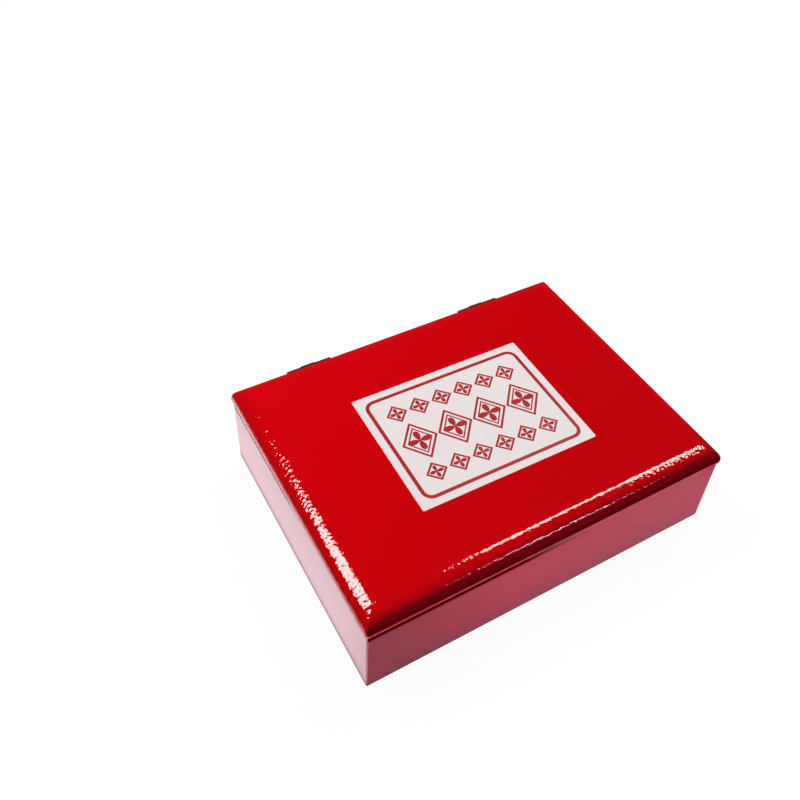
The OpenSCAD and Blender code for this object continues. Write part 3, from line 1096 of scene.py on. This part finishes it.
def grow(bm: BMesh, ring: list[BMEdge], outline: Outline, inset: float, rise: float) -> list[BMEdge]:
    """Extrudes a ring towards the middle and up.

    Args:
        bm: The mesh.
        ring: The ring's edges.
        outline: The outline that the ring follows.
        inset: How far each side moves in.
        rise: How far the ring moves up.

    Returns:
        The new ring's edges.
    """
    grown = bmesh.ops.extrude_edge_only(bm, edges=ring)["geom"]
    middle = outline.centre
    for side_x in (-1, 1):
        for side_y in (-1, 1):
            corner = [v for v in of_kind(grown, BMVert)
                      if (v.co.x - middle.x) * side_x > 0 and (v.co.y - middle.y) * side_y > 0]
            bmesh.ops.translate(bm, vec=(-side_x * inset, -side_y * inset, rise), verts=corner)
    return of_kind(grown, BMEdge)


def outwards(bm: BMesh) -> BMesh:
    """Turns all faces of a closed mesh outwards, and returns the mesh."""
    bmesh.ops.recalc_face_normals(bm, faces=bm.faces[:])
    return bm


def swept(outline: Outline, section: Section, capped: bool) -> BMesh:
    """Sweeps a section round an outline.

    Args:
        outline: The outline at inset 0.
        section: Points as inset and height.
        capped: True to fill the first and last ring, False to join them to each other.

    Returns:
        The closed mesh, its faces outwards.
    """
    bm = bmesh.new()
    inset, height = section[0]
    first = replace(outline, length=outline.length - 2 * inset, width=outline.width - 2 * inset)
    start = ring = ring_at(bm, first, height)
    for next_inset, next_height in section[1:]:
        ring = grow(bm, ring, outline, next_inset - inset, next_height - height)
        inset, height = next_inset, next_height
    if capped:
        bmesh.ops.contextual_create(bm, geom=start)
        bmesh.ops.contextual_create(bm, geom=ring)
    else:
        bmesh.ops.bridge_loops(bm, edges=start + ring)
    return outwards(bm)


def turned(section: Section, centre: Vector, steps: int = 96) -> BMesh:
    """Spins a section, given as radius and height, about an upright axis.

    Args:
        section: The points, from the axis back to the axis.
        centre: A point on the axis.
        steps: The number of stretches round.

    Returns:
        The closed mesh, its faces outwards.
    """
    bm = bmesh.new()
    points = [bm.verts.new((centre.x + radius, centre.y, height)) for radius, height in section]
    edges = [bm.edges.new(pair) for pair in zip(points, points[1:])]
    bmesh.ops.spin(bm, geom=points + edges, cent=(centre.x, centre.y, 0.0), axis=(0.0, 0.0, 1.0),
                   angle=2 * math.pi, steps=steps, use_merge=True)
    bmesh.ops.remove_doubles(bm, verts=bm.verts[:], dist=1e-7)
    return outwards(bm)


def flow(bm: BMesh, drop: Callable[[Vector], float]) -> None:
    """Lowers each vertex by a rule, as a hand does with soft stuff.

    Args:
        bm: The mesh.
        drop: Gives how far a point goes down.
    """
    for vert in bm.verts:
        vert.co.z -= drop(vert.co)


def settled(name: str, bm: BMesh) -> bpy.types.Mesh:
    """Turns a working mesh into a lasting one.

    Args:
        name: The lasting mesh's name.
        bm: The working mesh, which is freed.

    Returns:
        The lasting mesh.
    """
    mesh = bpy.data.meshes.new(name)
    bm.to_mesh(mesh)
    bm.free()
    return mesh


def put(name: str, data: bpy.types.ID) -> bpy.types.Object:
    """Puts something in the scene.

    Args:
        name: The new object's name.
        data: Its mesh, lamp or camera.

    Returns:
        The new object.
    """
    made = bpy.data.objects.new(name, data)
    bpy.context.scene.collection.objects.link(made)
    return made


def piece(name: str, bm: BMesh, finish: Finish, body: Body, stands_for: Sequence[str],
          sharp: float = 35.0) -> bpy.types.Object:
    """Makes a finished piece of a mesh and hangs it on its body.

    Args:
        name: The piece's name.
        bm: The mesh, which is freed.
        finish: The surface finish.
        body: The body that carries it.
        stands_for: The construction nodes that it replaces.
        sharp: The angle in degrees past which an edge is drawn sharp.

    Returns:
        The new object.
    """
    mesh = settled(name, bm)
    mesh.shade_smooth()
    mesh.set_sharp_from_angle(angle=math.radians(sharp))
    mesh.materials.append(finish.material())
    made = put(name, mesh)
    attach(made, body.value)
    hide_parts(*stands_for)
    log.info("%s: %d faces in %s", name, len(mesh.polygons), finish.name)
    return made


def dress(nodes: Iterable[str], finish: Finish) -> None:
    """Gives construction nodes a finish.

    Args:
        nodes: The nodes' names.
        finish: The surface finish.
    """
    for node in nodes:
        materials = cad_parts[node].data.materials
        materials.clear()
        materials.append(finish.material())
        log.info("%s: dressed in %s", node, finish.name)


def carve(made: bpy.types.Object, cutter: BMesh) -> None:
    """Cuts a shape out of a piece for good.

    Args:
        made: The piece.
        cutter: The shape to take away, which is freed.
    """
    tool = put("cutter", settled("cutter", cutter))
    cut = made.modifiers.new("cut", "BOOLEAN")
    cut.operation = "DIFFERENCE"
    cut.solver = "EXACT"
    cut.object = tool
    result = bpy.data.meshes.new_from_object(made.evaluated_get(bpy.context.evaluated_depsgraph_get()))
    made.modifiers.remove(cut)
    result.name = made.data.name + "_cut"
    spare = (made.data, tool.data)
    made.data = result
    bpy.data.objects.remove(tool)
    for mesh in spare:
        bpy.data.meshes.remove(mesh)


def even_out(made: bpy.types.Object) -> None:
    """Keeps flat faces flat in the shading.

    Args:
        made: The piece.
    """
    weigh = made.modifiers.new("even_out", "WEIGHTED_NORMAL")
    weigh.keep_sharp = True
    weigh.weight = 80


def softened(name: str, node: str, finish: Finish, body: Body, width: float, steps: int = 3,
             sharp: float = 50.0) -> bpy.types.Object:
    """Makes a piece from a construction node with its edges rounded.

    Args:
        name: The piece's name.
        node: The node that it replaces.
        finish: The surface finish.
        body: The body that carries it.
        width: The width of the rounding.
        steps: The rounding's segments.
        sharp: The angle in degrees past which an edge is rounded.

    Returns:
        The new object.
    """
    bm = bmesh.new()
    bm.from_mesh(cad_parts[node].data)
    bmesh.ops.remove_doubles(bm, verts=bm.verts[:], dist=1e-6)
    bmesh.ops.dissolve_limit(bm, angle_limit=math.radians(0.5), verts=bm.verts[:], edges=bm.edges[:],
                             use_dissolve_boundaries=False)
    made = piece(name, bm, finish, body, [node], sharp)
    rounding = made.modifiers.new("rounding", "BEVEL")
    rounding.width = width
    rounding.segments = steps
    rounding.limit_method = "ANGLE"
    rounding.angle_limit = math.radians(sharp)
    even_out(made)
    return made


# Sub-assemblies


@dataclass
class HingePlaces:
    """Where the two hinges cut into the coverings."""

    leaf_t: float = 0.6 * MM
    clearance: float = 0.1 * MM
    reach: float = 20 * MM

    def notches(self, level: float) -> BMesh:
        """Makes blocks that clear the hinge leaves.

        Args:
            level: The height at which a leaf lies in the covering.

        Returns:
            The blocks, as far as a leaf's thickness above and below the level.
        """
        bm = bmesh.new()
        for leaf in ("left_base_leaf", "right_base_leaf"):
            extent = Extent.of(leaf)
            near = extent.low.y - self.clearance
            add_block(bm, (extent.size.x + 2 * self.clearance, self.reach, 2 * self.leaf_t),
                      (extent.centre.x, near + self.reach / 2, level))
        return bm


@dataclass
class CaseShell:
    """The covered case: wall boards, base panel, covering and the sheet under it."""

    sheet: float = 0.4 * MM
    board: float = 4.2 * MM
    corner_r: float = 0.5 * MM
    edge_r: float = 0.5 * MM
    turn_down: float = 7 * MM
    turn_in: float = 9 * MM

    def section(self, extent: Extent) -> Section:
        """Draws the covering's section, from the outer wall over the rim and back under the case.

        Args:
            extent: Where the covering lies.

        Returns:
            The points as inset and height.
        """
        top, low, r, t = extent.high.z, extent.low.z, self.edge_r, self.sheet
        wall = 2 * t + self.board
        down = top - t - self.turn_down
        return [
            (0.0, low + r), (0.0, low + 2 * r), (0.0, top - 2 * r),
            *arc((r, top - r), r, 180, 90, 5), (2 * r, top), (wall - 2 * r, top),
            *arc((wall - r, top - r), r, 90, 0, 4), (wall, top - 2 * r), (wall, down),
            (wall - t, down), (wall - t, top - t), (t, top - t), (t, low + t),
            (t + self.turn_in, low + t), (t + self.turn_in, low), (2 * r, low),
            *arc((r, low + r), r, 270, 200, 4),
        ]

    def build(self, hinges: HingePlaces) -> None:
        """Makes the covering and dresses the boards.

        Args:
            hinges: Where the hinges cut in.
        """
        extent = Extent.of("case_wrap")
        finish = replace(CASE_LEATHERETTE, field=(extent.low, extent.high), level=extent.high.z)
        bm = swept(Outline.around(extent, self.corner_r), self.section(extent), capped=False)
        cover = piece("case_cover", bm, finish, Body.CASE, ["case_wrap"])
        carve(cover, hinges.notches(extent.high.z))
        even_out(cover)
        dress(["front_wall", "back_wall", "left_wall", "right_wall", "base_panel"], WALL_BOARD)
        dress(["bottom_sheet"], SHEET_PAPER)


@dataclass
class PaddedLid:
    """The padded lid: board, foam, covering, label, card and the satin pad inside."""

    sheet: float = 0.4 * MM
    edge_h: float = 1.1 * MM
    shoulder: float = 5.0 * MM
    corner_r: float = 0.9 * MM
    fold_r: float = 0.3 * MM
    turn_in: float = 9 * MM
    flat_edge: float = 1 * MM
    shoulder_steps: int = 20
    label_turn: float = math.radians(-0.8)
    label_corner: float = 0.5 * MM
    label_size: Pair = (55 * MM, 41.6 * MM)
    pad_cells: tuple[int, int] = (96, 70)
    pad_shoulder: float = 2.6 * MM
    pad_crown: float = 0.35 * MM
    pad_slack: float = 0.1 * MM
    pad_roundness: float = 0.6
    ripple: float = 0.08 * MM
    ripple_scale: float = 90.0
    pucker: float = 0.12 * MM
    pucker_scale: float = 260.0
    pucker_fade: float = 0.85

    def cover(self, hinges: HingePlaces) -> None:
        """Makes the leatherette covering over the foam and round the board.

        Args:
            hinges: Where the hinges cut in.
        """
        extent = Extent.of("lid_wrap")
        low, top, a, t, fold = extent.low.z, extent.high.z, self.shoulder, self.sheet, self.fold_r
        rise, foot = extent.size.z - self.edge_h, low + self.edge_h
        section = [
            (a + self.flat_edge, top), *arc((a, foot), (a, rise), 90, 180, self.shoulder_steps),
            (0.0, low + 2 * fold), *arc((fold, low + fold), fold, 180, 270, 4), (2 * fold, low),
            (self.turn_in, low), (self.turn_in, low + t), (t, low + t),
            *arc((a, foot), (a - t, rise - t), 180, 90, self.shoulder_steps), (a + self.flat_edge, top - t),
        ]
        finish = replace(LID_LEATHERETTE, field=(extent.low, extent.high), level=foot)
        bm = swept(Outline.around(extent, self.corner_r), section, capped=True)
        cover = piece("lid_cover", bm, finish, Body.LID, ["lid_wrap"])
        carve(cover, hinges.notches(low))
        over = math.pi / 2 * math.sqrt((a * a + rise * rise) / 2) - a
        spare = 2 * (over + self.edge_h + self.turn_in)
        extent.size.y + spare
        extent.size.x + spare

    def foam(self) -> None:
        """Makes the foam under the covering."""
        extent = Extent.of("lid_wrap")
        rise, foot = extent.size.z - self.edge_h - self.sheet, extent.low.z + self.edge_h
        start = math.degrees(math.asin((Extent.of("lid_padding").low.z - foot) / rise))
        section = arc((self.shoulder, foot), (self.shoulder - self.sheet, rise), 180 - start, 90,
                      self.shoulder_steps)
        bm = swept(Outline.around(extent, self.corner_r), section, capped=True)
        foam = piece("lid_foam", bm, FOAM, Body.LID, ["lid_padding"])

    def label(self) -> None:
        """Makes the label, turned a little as it was stuck on."""
        extent = Extent.of("lid_label")
        low, high, centre = extent.low.z, extent.high.z, extent.centre
        soft = (high - low) / 3
        section = [(0.0, low), (0.0, high - soft), (soft, high), (3 * soft, high)]
        bm = swept(Outline(Vector(), *self.label_size, self.label_corner), section, capped=True)
        turn = Matrix.Rotation(self.label_turn, 3, "Z")
        bmesh.ops.rotate(bm, cent=(0.0, 0.0, 0.0), matrix=turn, verts=bm.verts[:])
        bmesh.ops.translate(bm, vec=(centre.x, centre.y, 0.0), verts=bm.verts[:])
        finish = LabelPaper("label_finish", "label_foil", centre=(centre.x, centre.y), size=self.label_size,
                            turn=self.label_turn)
        piece("lid_label_sheet", bm, finish, Body.LID, ["lid_label"], sharp=60.0)

    def pillow(self, extent: Extent, rise: float) -> Callable[[Vector], float]:
        """Gives the rule by which the satin pad swells.

        Args:
            extent: Where the pad lies.
            rise: How far it stands out from its card.

        Returns:
            A rule that tells how far the pad's face stands out at a point.
        """

        def swell(point: Vector) -> float:
            """Tells how far the face stands out.

            Args:
                point: A point on the pad's face.

            Returns:
                The distance.
            """
            away = point - extent.centre
            edge = min(extent.size.x / 2 - abs(away.x), extent.size.y / 2 - abs(away.y))
            near = min(1.0, edge / self.pad_shoulder)
            shoulder = math.sqrt(max(0.0, 1.0 - (1.0 - near) ** 2))
            crown = min(1.0, edge / (extent.size.y / 2)) ** self.pad_roundness
            fine = Vector((point.x * self.pucker_scale, point.y * self.pucker_scale, 3.0))
            puckers = noise.noise(fine) * (1 - near * self.pucker_fade) * self.pucker
            broad = Vector((point.x * self.ripple_scale, point.y * self.ripple_scale, 7.0))
            ripples = noise.noise(broad) * self.ripple
            deep = (rise - self.pad_crown) * shoulder + self.pad_crown * crown - self.pad_slack
            return min(rise, max(0.0, deep + ripples + puckers) * min(1.0, near * 3))

        return swell

    def satin_pad(self) -> None:
        """Makes the satin pad inside the lid, crowned, with its satin drawn round the card."""
        extent = Extent.of("lid_satin_pad")
        card = Extent.of("lid_card").low.z
        bm = bmesh.new()
        bmesh.ops.create_grid(bm, x_segments=self.pad_cells[0], y_segments=self.pad_cells[1], size=0.5)
        bmesh.ops.scale(bm, vec=(extent.size.x, extent.size.y, 1.0), verts=bm.verts[:])
        bmesh.ops.translate(bm, vec=(extent.centre.x, extent.centre.y, card), verts=bm.verts[:])
        flow(bm, self.pillow(extent, card - extent.low.z))
        side = bmesh.ops.extrude_edge_only(bm, edges=[e for e in bm.edges if e.is_boundary])["geom"]
        bmesh.ops.translate(bm, vec=(0.0, 0.0, extent.high.z - card), verts=of_kind(side, BMVert))
        bmesh.ops.contextual_create(bm, geom=of_kind(side, BMEdge))
        pad = piece("lid_pad", outwards(bm), SATIN, Body.LID, ["lid_satin_pad"])

    def build(self, hinges: HingePlaces) -> None:
        """Makes the lid's pieces.

        Args:
            hinges: Where the hinges cut in.
        """
        self.cover(hinges)
        self.foam()
        self.label()
        self.satin_pad()
        dress(["lid_panel"], WALL_BOARD)
        dress(["lid_card"], CARD)


@dataclass
class Lining:
    """The satin lining of the case."""

    thickness: float = 0.8 * MM
    fold_r: float = 0.36 * MM
    corner_r: float = 0.25 * MM
    corner_steps: int = 3
    rim: float = 1 * MM

    def build(self) -> None:
        """Makes the wall lining and the floor lining."""
        extent = Extent.of("wall_lining")
        low, top, t, r = extent.low.z, extent.high.z, self.thickness, self.fold_r
        section = [(0.0, low), (0.0, top - 2 * r), *arc((r, top - r), r, 180, 90, 4),
                   *arc((t - r, top - r), r, 90, 0, 4), (t, top - 2 * r), (t, low)]
        bm = swept(Outline.around(extent, self.corner_r, self.corner_steps), section, capped=False)
        strip = piece("wall_satin", bm, SATIN, Body.CASE, ["wall_lining"])
        even_out(strip)
        floor = Extent.of("floor_lining")
        section = [(0.0, floor.low.z), (0.0, floor.high.z), (self.rim, floor.high.z)]
        bm = swept(Outline.around(floor, self.corner_r, self.corner_steps), section, capped=True)
        sheet = piece("floor_satin", bm, SATIN, Body.CASE, ["floor_lining"])


@dataclass
class Insert:
    """The flocked foam insert, in two layers."""

    softness: float = 0.5 * MM

    def build(self) -> None:
        """Makes both layers with soft edges."""
        for name, node in (("insert_base", "insert_lower"), ("insert_deck", "insert_upper")):
            layer = softened(name, node, FLOCK, Body.CASE, self.softness)


@dataclass
class PorcelainDish:
    """The dish, its cover and the paste."""

    wall: float = 2.2 * MM
    floor: float = 2.4 * MM
    foot_w: float = 2.4 * MM
    foot_h: float = 0.9 * MM
    bare_foot: float = 0.15 * MM
    waist: float = 6 * MM
    ledge: float = 2.0 * MM
    lip_h: float = 1.6 * MM
    crown: float = 1.9 * MM
    cover_r: float = 2.8 * MM
    hollow_r: float = 1 * MM
    run: float = 0.3 * MM
    rim_r: float = 0.25 * MM
    mound: float = 1.2 * MM
    mound_steps: int = 24
    shore: float = 0.4 * MM
    belly: float = 0.3
    paste_bend: float = 0.28
    swirl_arms: float = 2.0
    swirl_twist: float = 9.0
    swirl_h: float = 0.25 * MM
    lump_h: float = 0.16 * MM
    lump_scale: float = 420.0
    sink: float = 0.3 * MM

    def dish(self) -> None:
        """Makes the dish with its foot ring, ledge and lip."""
        extent = Extent.of("paste_dish")
        low, r, k, half = extent.low.z, extent.size.x / 2, self.rim_r, self.wall / 2
        parting = extent.high.z - self.lip_h
        belly = r * self.belly
        foot = r - belly
        inner = foot - self.foot_w
        waist = min((parting - low) * 0.45, self.waist)
        lip = r - self.ledge
        bowl = lip - self.wall
        floor = low + self.floor
        bend = min(bowl * 0.3, (parting - floor) * 0.6)
        section = [
            (0.0, low + self.foot_h), (inner - 2 * k, low + self.foot_h),
            *arc((inner - k, low + self.foot_h - k), k, 90, 0, 3), *arc((inner + k, low + k), k, 180, 270, 3),
            *arc((foot - k, low + k), k, 270, 340, 3),
            *arc((foot, low + waist), (belly, waist - self.foot_h), -85, 0, 14),
            *arc((r - k, parting - k), k, 0, 90, 3), (lip, parting),
            *arc((lip - half, extent.high.z - half), half, 0, 180, 8),
            *arc((bowl - bend, floor + bend), bend, 0, -90, 10), (0.0, floor),
        ]
        finish = Porcelain("dish_glaze_finish", "white_porcelain", low + self.bare_foot, parting)
        piece("dish", turned(section, extent.centre), finish, Body.CASE, ["paste_dish"], sharp=60.0)

    def cover(self) -> None:
        """Makes the cover that sits on the ledge."""
        extent = Extent.of("dish_cover")
        low, top, r, k = extent.low.z, extent.high.z, extent.size.x / 2, self.rim_r
        hollow, inner, crown = r - self.ledge + self.run, self.hollow_r, self.cover_r
        roof = top - self.crown
        section = [
            (0.0, roof), *arc((hollow - inner, roof - inner), inner, 90, 0, 6),
            *arc((hollow + k, low + k), k, 180, 270, 3), *arc((r - k, low + k), k, 270, 360, 3),
            *arc((r - crown, top - crown), crown, 0, 90, 12), (r - crown - inner, top), (0.0, top),
        ]
        finish = Porcelain("cover_glaze_finish", "white_porcelain", 0.0, low)
        piece("cover", turned(section, extent.centre), finish, Body.CASE, ["dish_cover"], sharp=60.0)

    def paste(self) -> None:
        """Makes the paste, lumpy where it was stirred and drawn up in the middle."""
        extent = Extent.of("seal_paste")
        low, top, r, centre = extent.low.z, extent.high.z, extent.size.x / 2, extent.centre
        bend = r * self.paste_bend
        shore = top - self.mound
        shares = [step / self.mound_steps for step in range(1, self.mound_steps + 1)]
        section = [
            (0.0, low), *arc((r - bend, low + bend), bend, -90, 0, 10), (r, shore - self.shore),
            *[(r * (1 - share), shore + self.mound * math.sin(math.pi / 2 * share) ** 0.8)
              for share in shares],
        ]
        bm = turned(section, centre, 120)

        def stir(point: Vector) -> float:
            """Tells how far the paste's skin sinks.

            Args:
                point: A point on the paste.

            Returns:
                The distance.
            """
            if point.z < shore - self.shore / 2:
                return 0.0
            away = (point - centre).to_2d().length / r
            angle = math.atan2(point.y - centre.y, point.x - centre.x)
            swirl = angle * self.swirl_arms + away * self.swirl_twist
            wave = math.sin(swirl) * self.swirl_h * away * (1 - away)
            lumps = noise.fractal(point * self.lump_scale, 0.8, 2.2, 4) * self.lump_h
            return max(0.0, self.sink - wave - lumps)

        flow(bm, stir)
        piece("paste", bm, PASTE, Body.CASE, ["seal_paste"], sharp=180.0)

    def build(self) -> None:
        """Makes the dish, the paste and the cover."""
        self.dish()
        self.paste()
        self.cover()


@dataclass
class Spatula:
    """The stirring spatula: a round handle that runs out into a thin flat blade."""

    handle_r: float = 2.2 * MM
    neck_r: float = 1.6 * MM
    end_r: float = 0.9 * MM
    blade_half: float = 4.0 * MM
    blade_t: float = 1.2 * MM
    blade_l: float = 17 * MM
    sides: int = 16

    def stations(self, extent: Extent) -> list[tuple[float, float, float]]:
        """Lists where the spatula's form changes, from the handle's end to the blade's tip.

        Args:
            extent: Where the spatula lies.

        Returns:
            Places along it, each with half the width and half the thickness there.
        """
        end, tip, thin = extent.high.y, extent.low.y, self.blade_t / 2
        shoulder = tip + self.blade_l
        return [
            (end - 0.9 * MM, 1.5 * MM, 1.5 * MM), (end - 2.2 * MM, self.handle_r, self.handle_r),
            (end - 12 * MM, self.handle_r, self.handle_r), (shoulder + 16 * MM, 1.9 * MM, 1.85 * MM),
            (shoulder + 8 * MM, self.neck_r, self.neck_r), (shoulder + 3 * MM, 2.2 * MM, 1.0 * MM),
            (shoulder - 1 * MM, 3.2 * MM, thin), (shoulder - 7 * MM, 3.8 * MM, thin),
            (tip + 4 * MM, self.blade_half, thin * 0.9), (tip + 1.4 * MM, 3.2 * MM, thin * 0.7),
            (tip + 0.35 * MM, 1.7 * MM, thin * 0.5),
        ]

    def build(self) -> None:
        """Makes the spatula by drawing a round end out along its length."""
        extent = Extent.of("spatula")
        x, low = extent.centre.x, extent.low.z
        bm = bmesh.new()
        bmesh.ops.create_circle(bm, cap_ends=True, segments=self.sides, radius=1.0,
                                matrix=Matrix.Rotation(math.pi / 2, 4, "X"))
        y, z, half_w, half_h = extent.high.y, low + self.handle_r, self.end_r, self.end_r
        bmesh.ops.scale(bm, vec=(half_w, 1.0, half_h), verts=bm.verts[:])
        bmesh.ops.translate(bm, vec=(x, y, z), verts=bm.verts[:])
        face = bm.faces[:]
        for next_y, next_w, next_h in self.stations(extent):
            grown = bmesh.ops.extrude_face_region(bm, geom=face)["geom"]
            if y != extent.high.y:
                bmesh.ops.delete(bm, geom=face, context="FACES_ONLY")
            verts, face = of_kind(grown, BMVert), of_kind(grown, BMFace)
            bmesh.ops.scale(bm, vec=(next_w / half_w, 1.0, next_h / half_h), verts=verts,
                            space=Matrix.Translation((-x, -y, -z)))
            bmesh.ops.translate(bm, vec=(0.0, next_y - y, low + next_h - z), verts=verts)
            y, z, half_w, half_h = next_y, low + next_h, next_w, next_h
        made = piece("paste_spatula", outwards(bm), IVORY, Body.CASE, ["spatula"], sharp=180.0)
        smooth = made.modifiers.new("smooth", "SUBSURF")
        smooth.levels = smooth.render_levels = 2


@dataclass
class Hinges:
    """The two butt hinges with their pins and screws."""

    edge: float = 0.06 * MM

    def build(self) -> None:
        """Makes the leaves with broken edges and dresses pins and screws."""
        for side in ("left", "right"):
            for leaf, body in (("base_leaf", Body.CASE), ("lid_leaf", Body.LID)):
                softened(f"{side}_{leaf}_metal", f"{side}_{leaf}", BRONZE, body, self.edge, 2)
            dress([f"{side}_hinge_pin"], STEEL)
        dress(["base_screws", "lid_screws"], BRONZE)


# Studio


class LampShape(Enum):
    """The outline of a studio light."""

    PANEL = "RECTANGLE"
    OVAL = "ELLIPSE"

    @property
    def share(self) -> float:
        """The share of its length times its width that the outline fills."""
        return math.pi / 4 if self is LampShape.OVAL else 1.0


@dataclass(frozen=True)
class Lamp:
    """A flat studio light."""

    name: str
    at: Point
    size: Pair
    radiance: float
    shape: LampShape = LampShape.PANEL
    turn: float = 0.0

    def build(self) -> None:
        """Hangs the light level, with its long side along X or turned from it."""
        data = bpy.data.lights.new(self.name, "AREA")
        data.shape = self.shape.value
        data.size, data.size_y = self.size
        data.energy = self.radiance * math.pi * self.size[0] * self.size[1] * self.shape.share
        lamp = put(self.name, data)
        lamp.location = self.at
        lamp.rotation_euler.z = math.radians(self.turn)
        log.info("%s: %.2f W", self.name, data.energy)


@dataclass
class Studio:
    """Pale floor, soft lights, white surroundings and the camera of the photograph.

    In the box's walls the floor mirrors as a pool of light near the box. Its strength
    and its reach differ at the left and at the front, and so do the tints. A fall, a
    slope or a change ahead is two distances and the strength at each.
    """

    floor_half: float = 3.0
    floor_colour: Colour = (0.8, 0.8, 0.8)
    floor_white: float = 0.97
    box_half: Pair = (55 * MM, 41.7 * MM)
    pool_front: float = 0.42
    pool_left: float = 1.97
    pool_far: float = 0.01
    tint_front: Colour = (0.96, 1.0, 1.18)
    tint_left: Colour = (0.98, 1.0, 1.04)
    front_reach: Pair = (12 * MM, 24 * MM)
    left_reach: Pair = (14 * MM, 120 * MM)
    left_bounds: Pair = (1 * MM, 25 * MM)
    left_widens: Pair = (75 * MM, 130 * MM)
    left_fall: tuple[float, ...] = (0.0, 10 * MM, 1.12, 0.96)
    left_ahead: tuple[float, ...] = (-42 * MM, -22 * MM, 0.8, 1.0)
    front_slope: tuple[float, ...] = (-60 * MM, 40 * MM, 0.85, 1.12)
    fill: Pair = (0.10, 0.50)
    walls_light: float = 0.06
    ceiling_light: float = 0.02
    ceiling_from: float = math.radians(30)
    image_side: float = 800.0
    focal_px: float = 907.79
    optical_centre_px: Pair = (412.34, 317.79)
    camera_at: Point = (-104.91 * MM, -133.72 * MM, 221.18 * MM)
    yaw: float = math.radians(31.897)
    pitch: float = math.radians(42.422)
    roll: float = math.radians(3.243)
    sensor_mm: float = 36.0
    lamps: tuple[Lamp, ...] = (
        Lamp("back_right_softbox", (0.370, 0.161, 0.60), (0.33, 0.128), 14.8, turn=-3.5),
        Lamp("right_strip", (0.485, 0.060, 0.60), (0.14, 0.10), 16.0, turn=84.5),
        Lamp("back_left_softbox", (-0.275, 0.294, 0.60), (0.54, 0.20), 19.0, LampShape.OVAL, -9.0),
        Lamp("front_right_tube", (0.348, -0.44, 0.60), (0.205, 0.035), 26.0),
    )

    def pool(self, graph: Graph) -> tuple[Value, Value]:
        """Draws the floor's light as the walls mirror it, brightest on the left.

        Args:
            graph: The floor's graph.

        Returns:
            Its strength and its tint.
        """
        x, y, _ = graph.split(graph.add("ShaderNodeTexCoord")["Object"])
        beside = abs(x) - self.box_half[0]
        away = beside.most(abs(y) - self.box_half[1])
        bound = y.span(*self.left_widens, *[-self.box_half[0] - soft for soft in self.left_bounds])
        left = x.span(bound, -self.box_half[0], 1.0, 0.0)
        side = (beside.span(*self.left_fall) * y.span(*self.left_ahead)
                * away.span(*self.left_reach, self.pool_left, self.pool_far))
        front = x.span(*self.front_slope) * away.span(*self.front_reach, self.pool_front, self.pool_far)
        return graph.mix(left, front, side), graph.blend(left, self.tint_front, self.tint_left)

    def floor(self) -> None:
        """Lays the floor, white to the eye, with the box's shadow on it."""
        bm = bmesh.new()
        bmesh.ops.create_grid(bm, x_segments=8, y_segments=8, size=self.floor_half)
        material, graph = new_material("floor_finish")
        path = graph.add("ShaderNodeLightPath")
        mirrored = in_mirrors(path)
        light, tint = self.pool(graph)
        matt = graph.add("ShaderNodeBsdfDiffuse", {"Color": self.floor_colour})[0]
        white = graph.add("ShaderNodeEmission", {
            "Color": graph.blend(mirrored, WHITE, tint), "Strength": graph.mix(mirrored, 1.0, light),
        })[0]
        share = (path["Is Camera Ray"] * self.floor_white).most(mirrored)
        mixed = graph.add("ShaderNodeMixShader", {0: share, 1: matt, 2: white})[0]
        graph.add("ShaderNodeOutputMaterial", {"Surface": mixed})
        mesh = settled("floor", bm)
        mesh.materials.append(material)
        floor = put("floor", mesh)

    def surroundings(self) -> None:
        """Sets the world: white to the eye, a dim room in mirrors, with a soft fill."""
        world = bpy.data.worlds.new("studio")
        bpy.context.scene.world = world
        world.use_nodes = True
        graph = Graph(world.node_tree)
        path = graph.add("ShaderNodeLightPath")
        right, _, height = graph.split(graph.add("ShaderNodeTexCoord")["Generated"])
        room = height.span(0.0, math.sin(self.ceiling_from), self.walls_light, self.ceiling_light)
        seen = graph.mix(in_mirrors(path), right.span(-1.0, 1.0, *self.fill), room)
        strength = graph.mix(path["Is Camera Ray"], seen, 1.0)
        shade = graph.add("ShaderNodeBackground", {"Color": WHITE, "Strength": strength})[0]
        graph.add("ShaderNodeOutputWorld", {"Surface": shade})

    def camera(self) -> None:
        """Sets the camera where the photograph was taken from."""
        data = bpy.data.cameras.new("camera")
        data.sensor_width = self.sensor_mm
        data.lens = self.focal_px / self.image_side * self.sensor_mm
        middle = self.image_side / 2
        data.shift_x = (middle - self.optical_centre_px[0]) / self.image_side
        data.shift_y = (self.optical_centre_px[1] - middle) / self.image_side
        data.clip_start = 0.01
        turn = (Matrix.Rotation(-self.yaw, 4, "Z") @ Matrix.Rotation(math.pi / 2 - self.pitch, 4, "X")
                @ Matrix.Rotation(self.roll, 4, "Z"))
        camera = put("camera", data)
        camera.matrix_world = Matrix.Translation(self.camera_at) @ turn
        bpy.context.scene.camera = camera

    def build(self) -> None:
        """Sets floor, surroundings, lights and camera."""
        bpy.context.scene.view_settings.view_transform = "Standard"
        self.floor()
        self.surroundings()
        for lamp in self.lamps:
            lamp.build()
        self.camera()


def main() -> None:
    """Builds the box's looks."""
    logging.basicConfig(level=logging.INFO, format="%(message)s")
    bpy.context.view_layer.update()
    hinges = HingePlaces()
    CaseShell().build(hinges)
    Lining().build()
    Insert().build()
    PorcelainDish().build()
    Spatula().build()
    Hinges().build()
    PaddedLid().build(hinges)
    Studio().build()


if __name__ == "__main__":
    main()
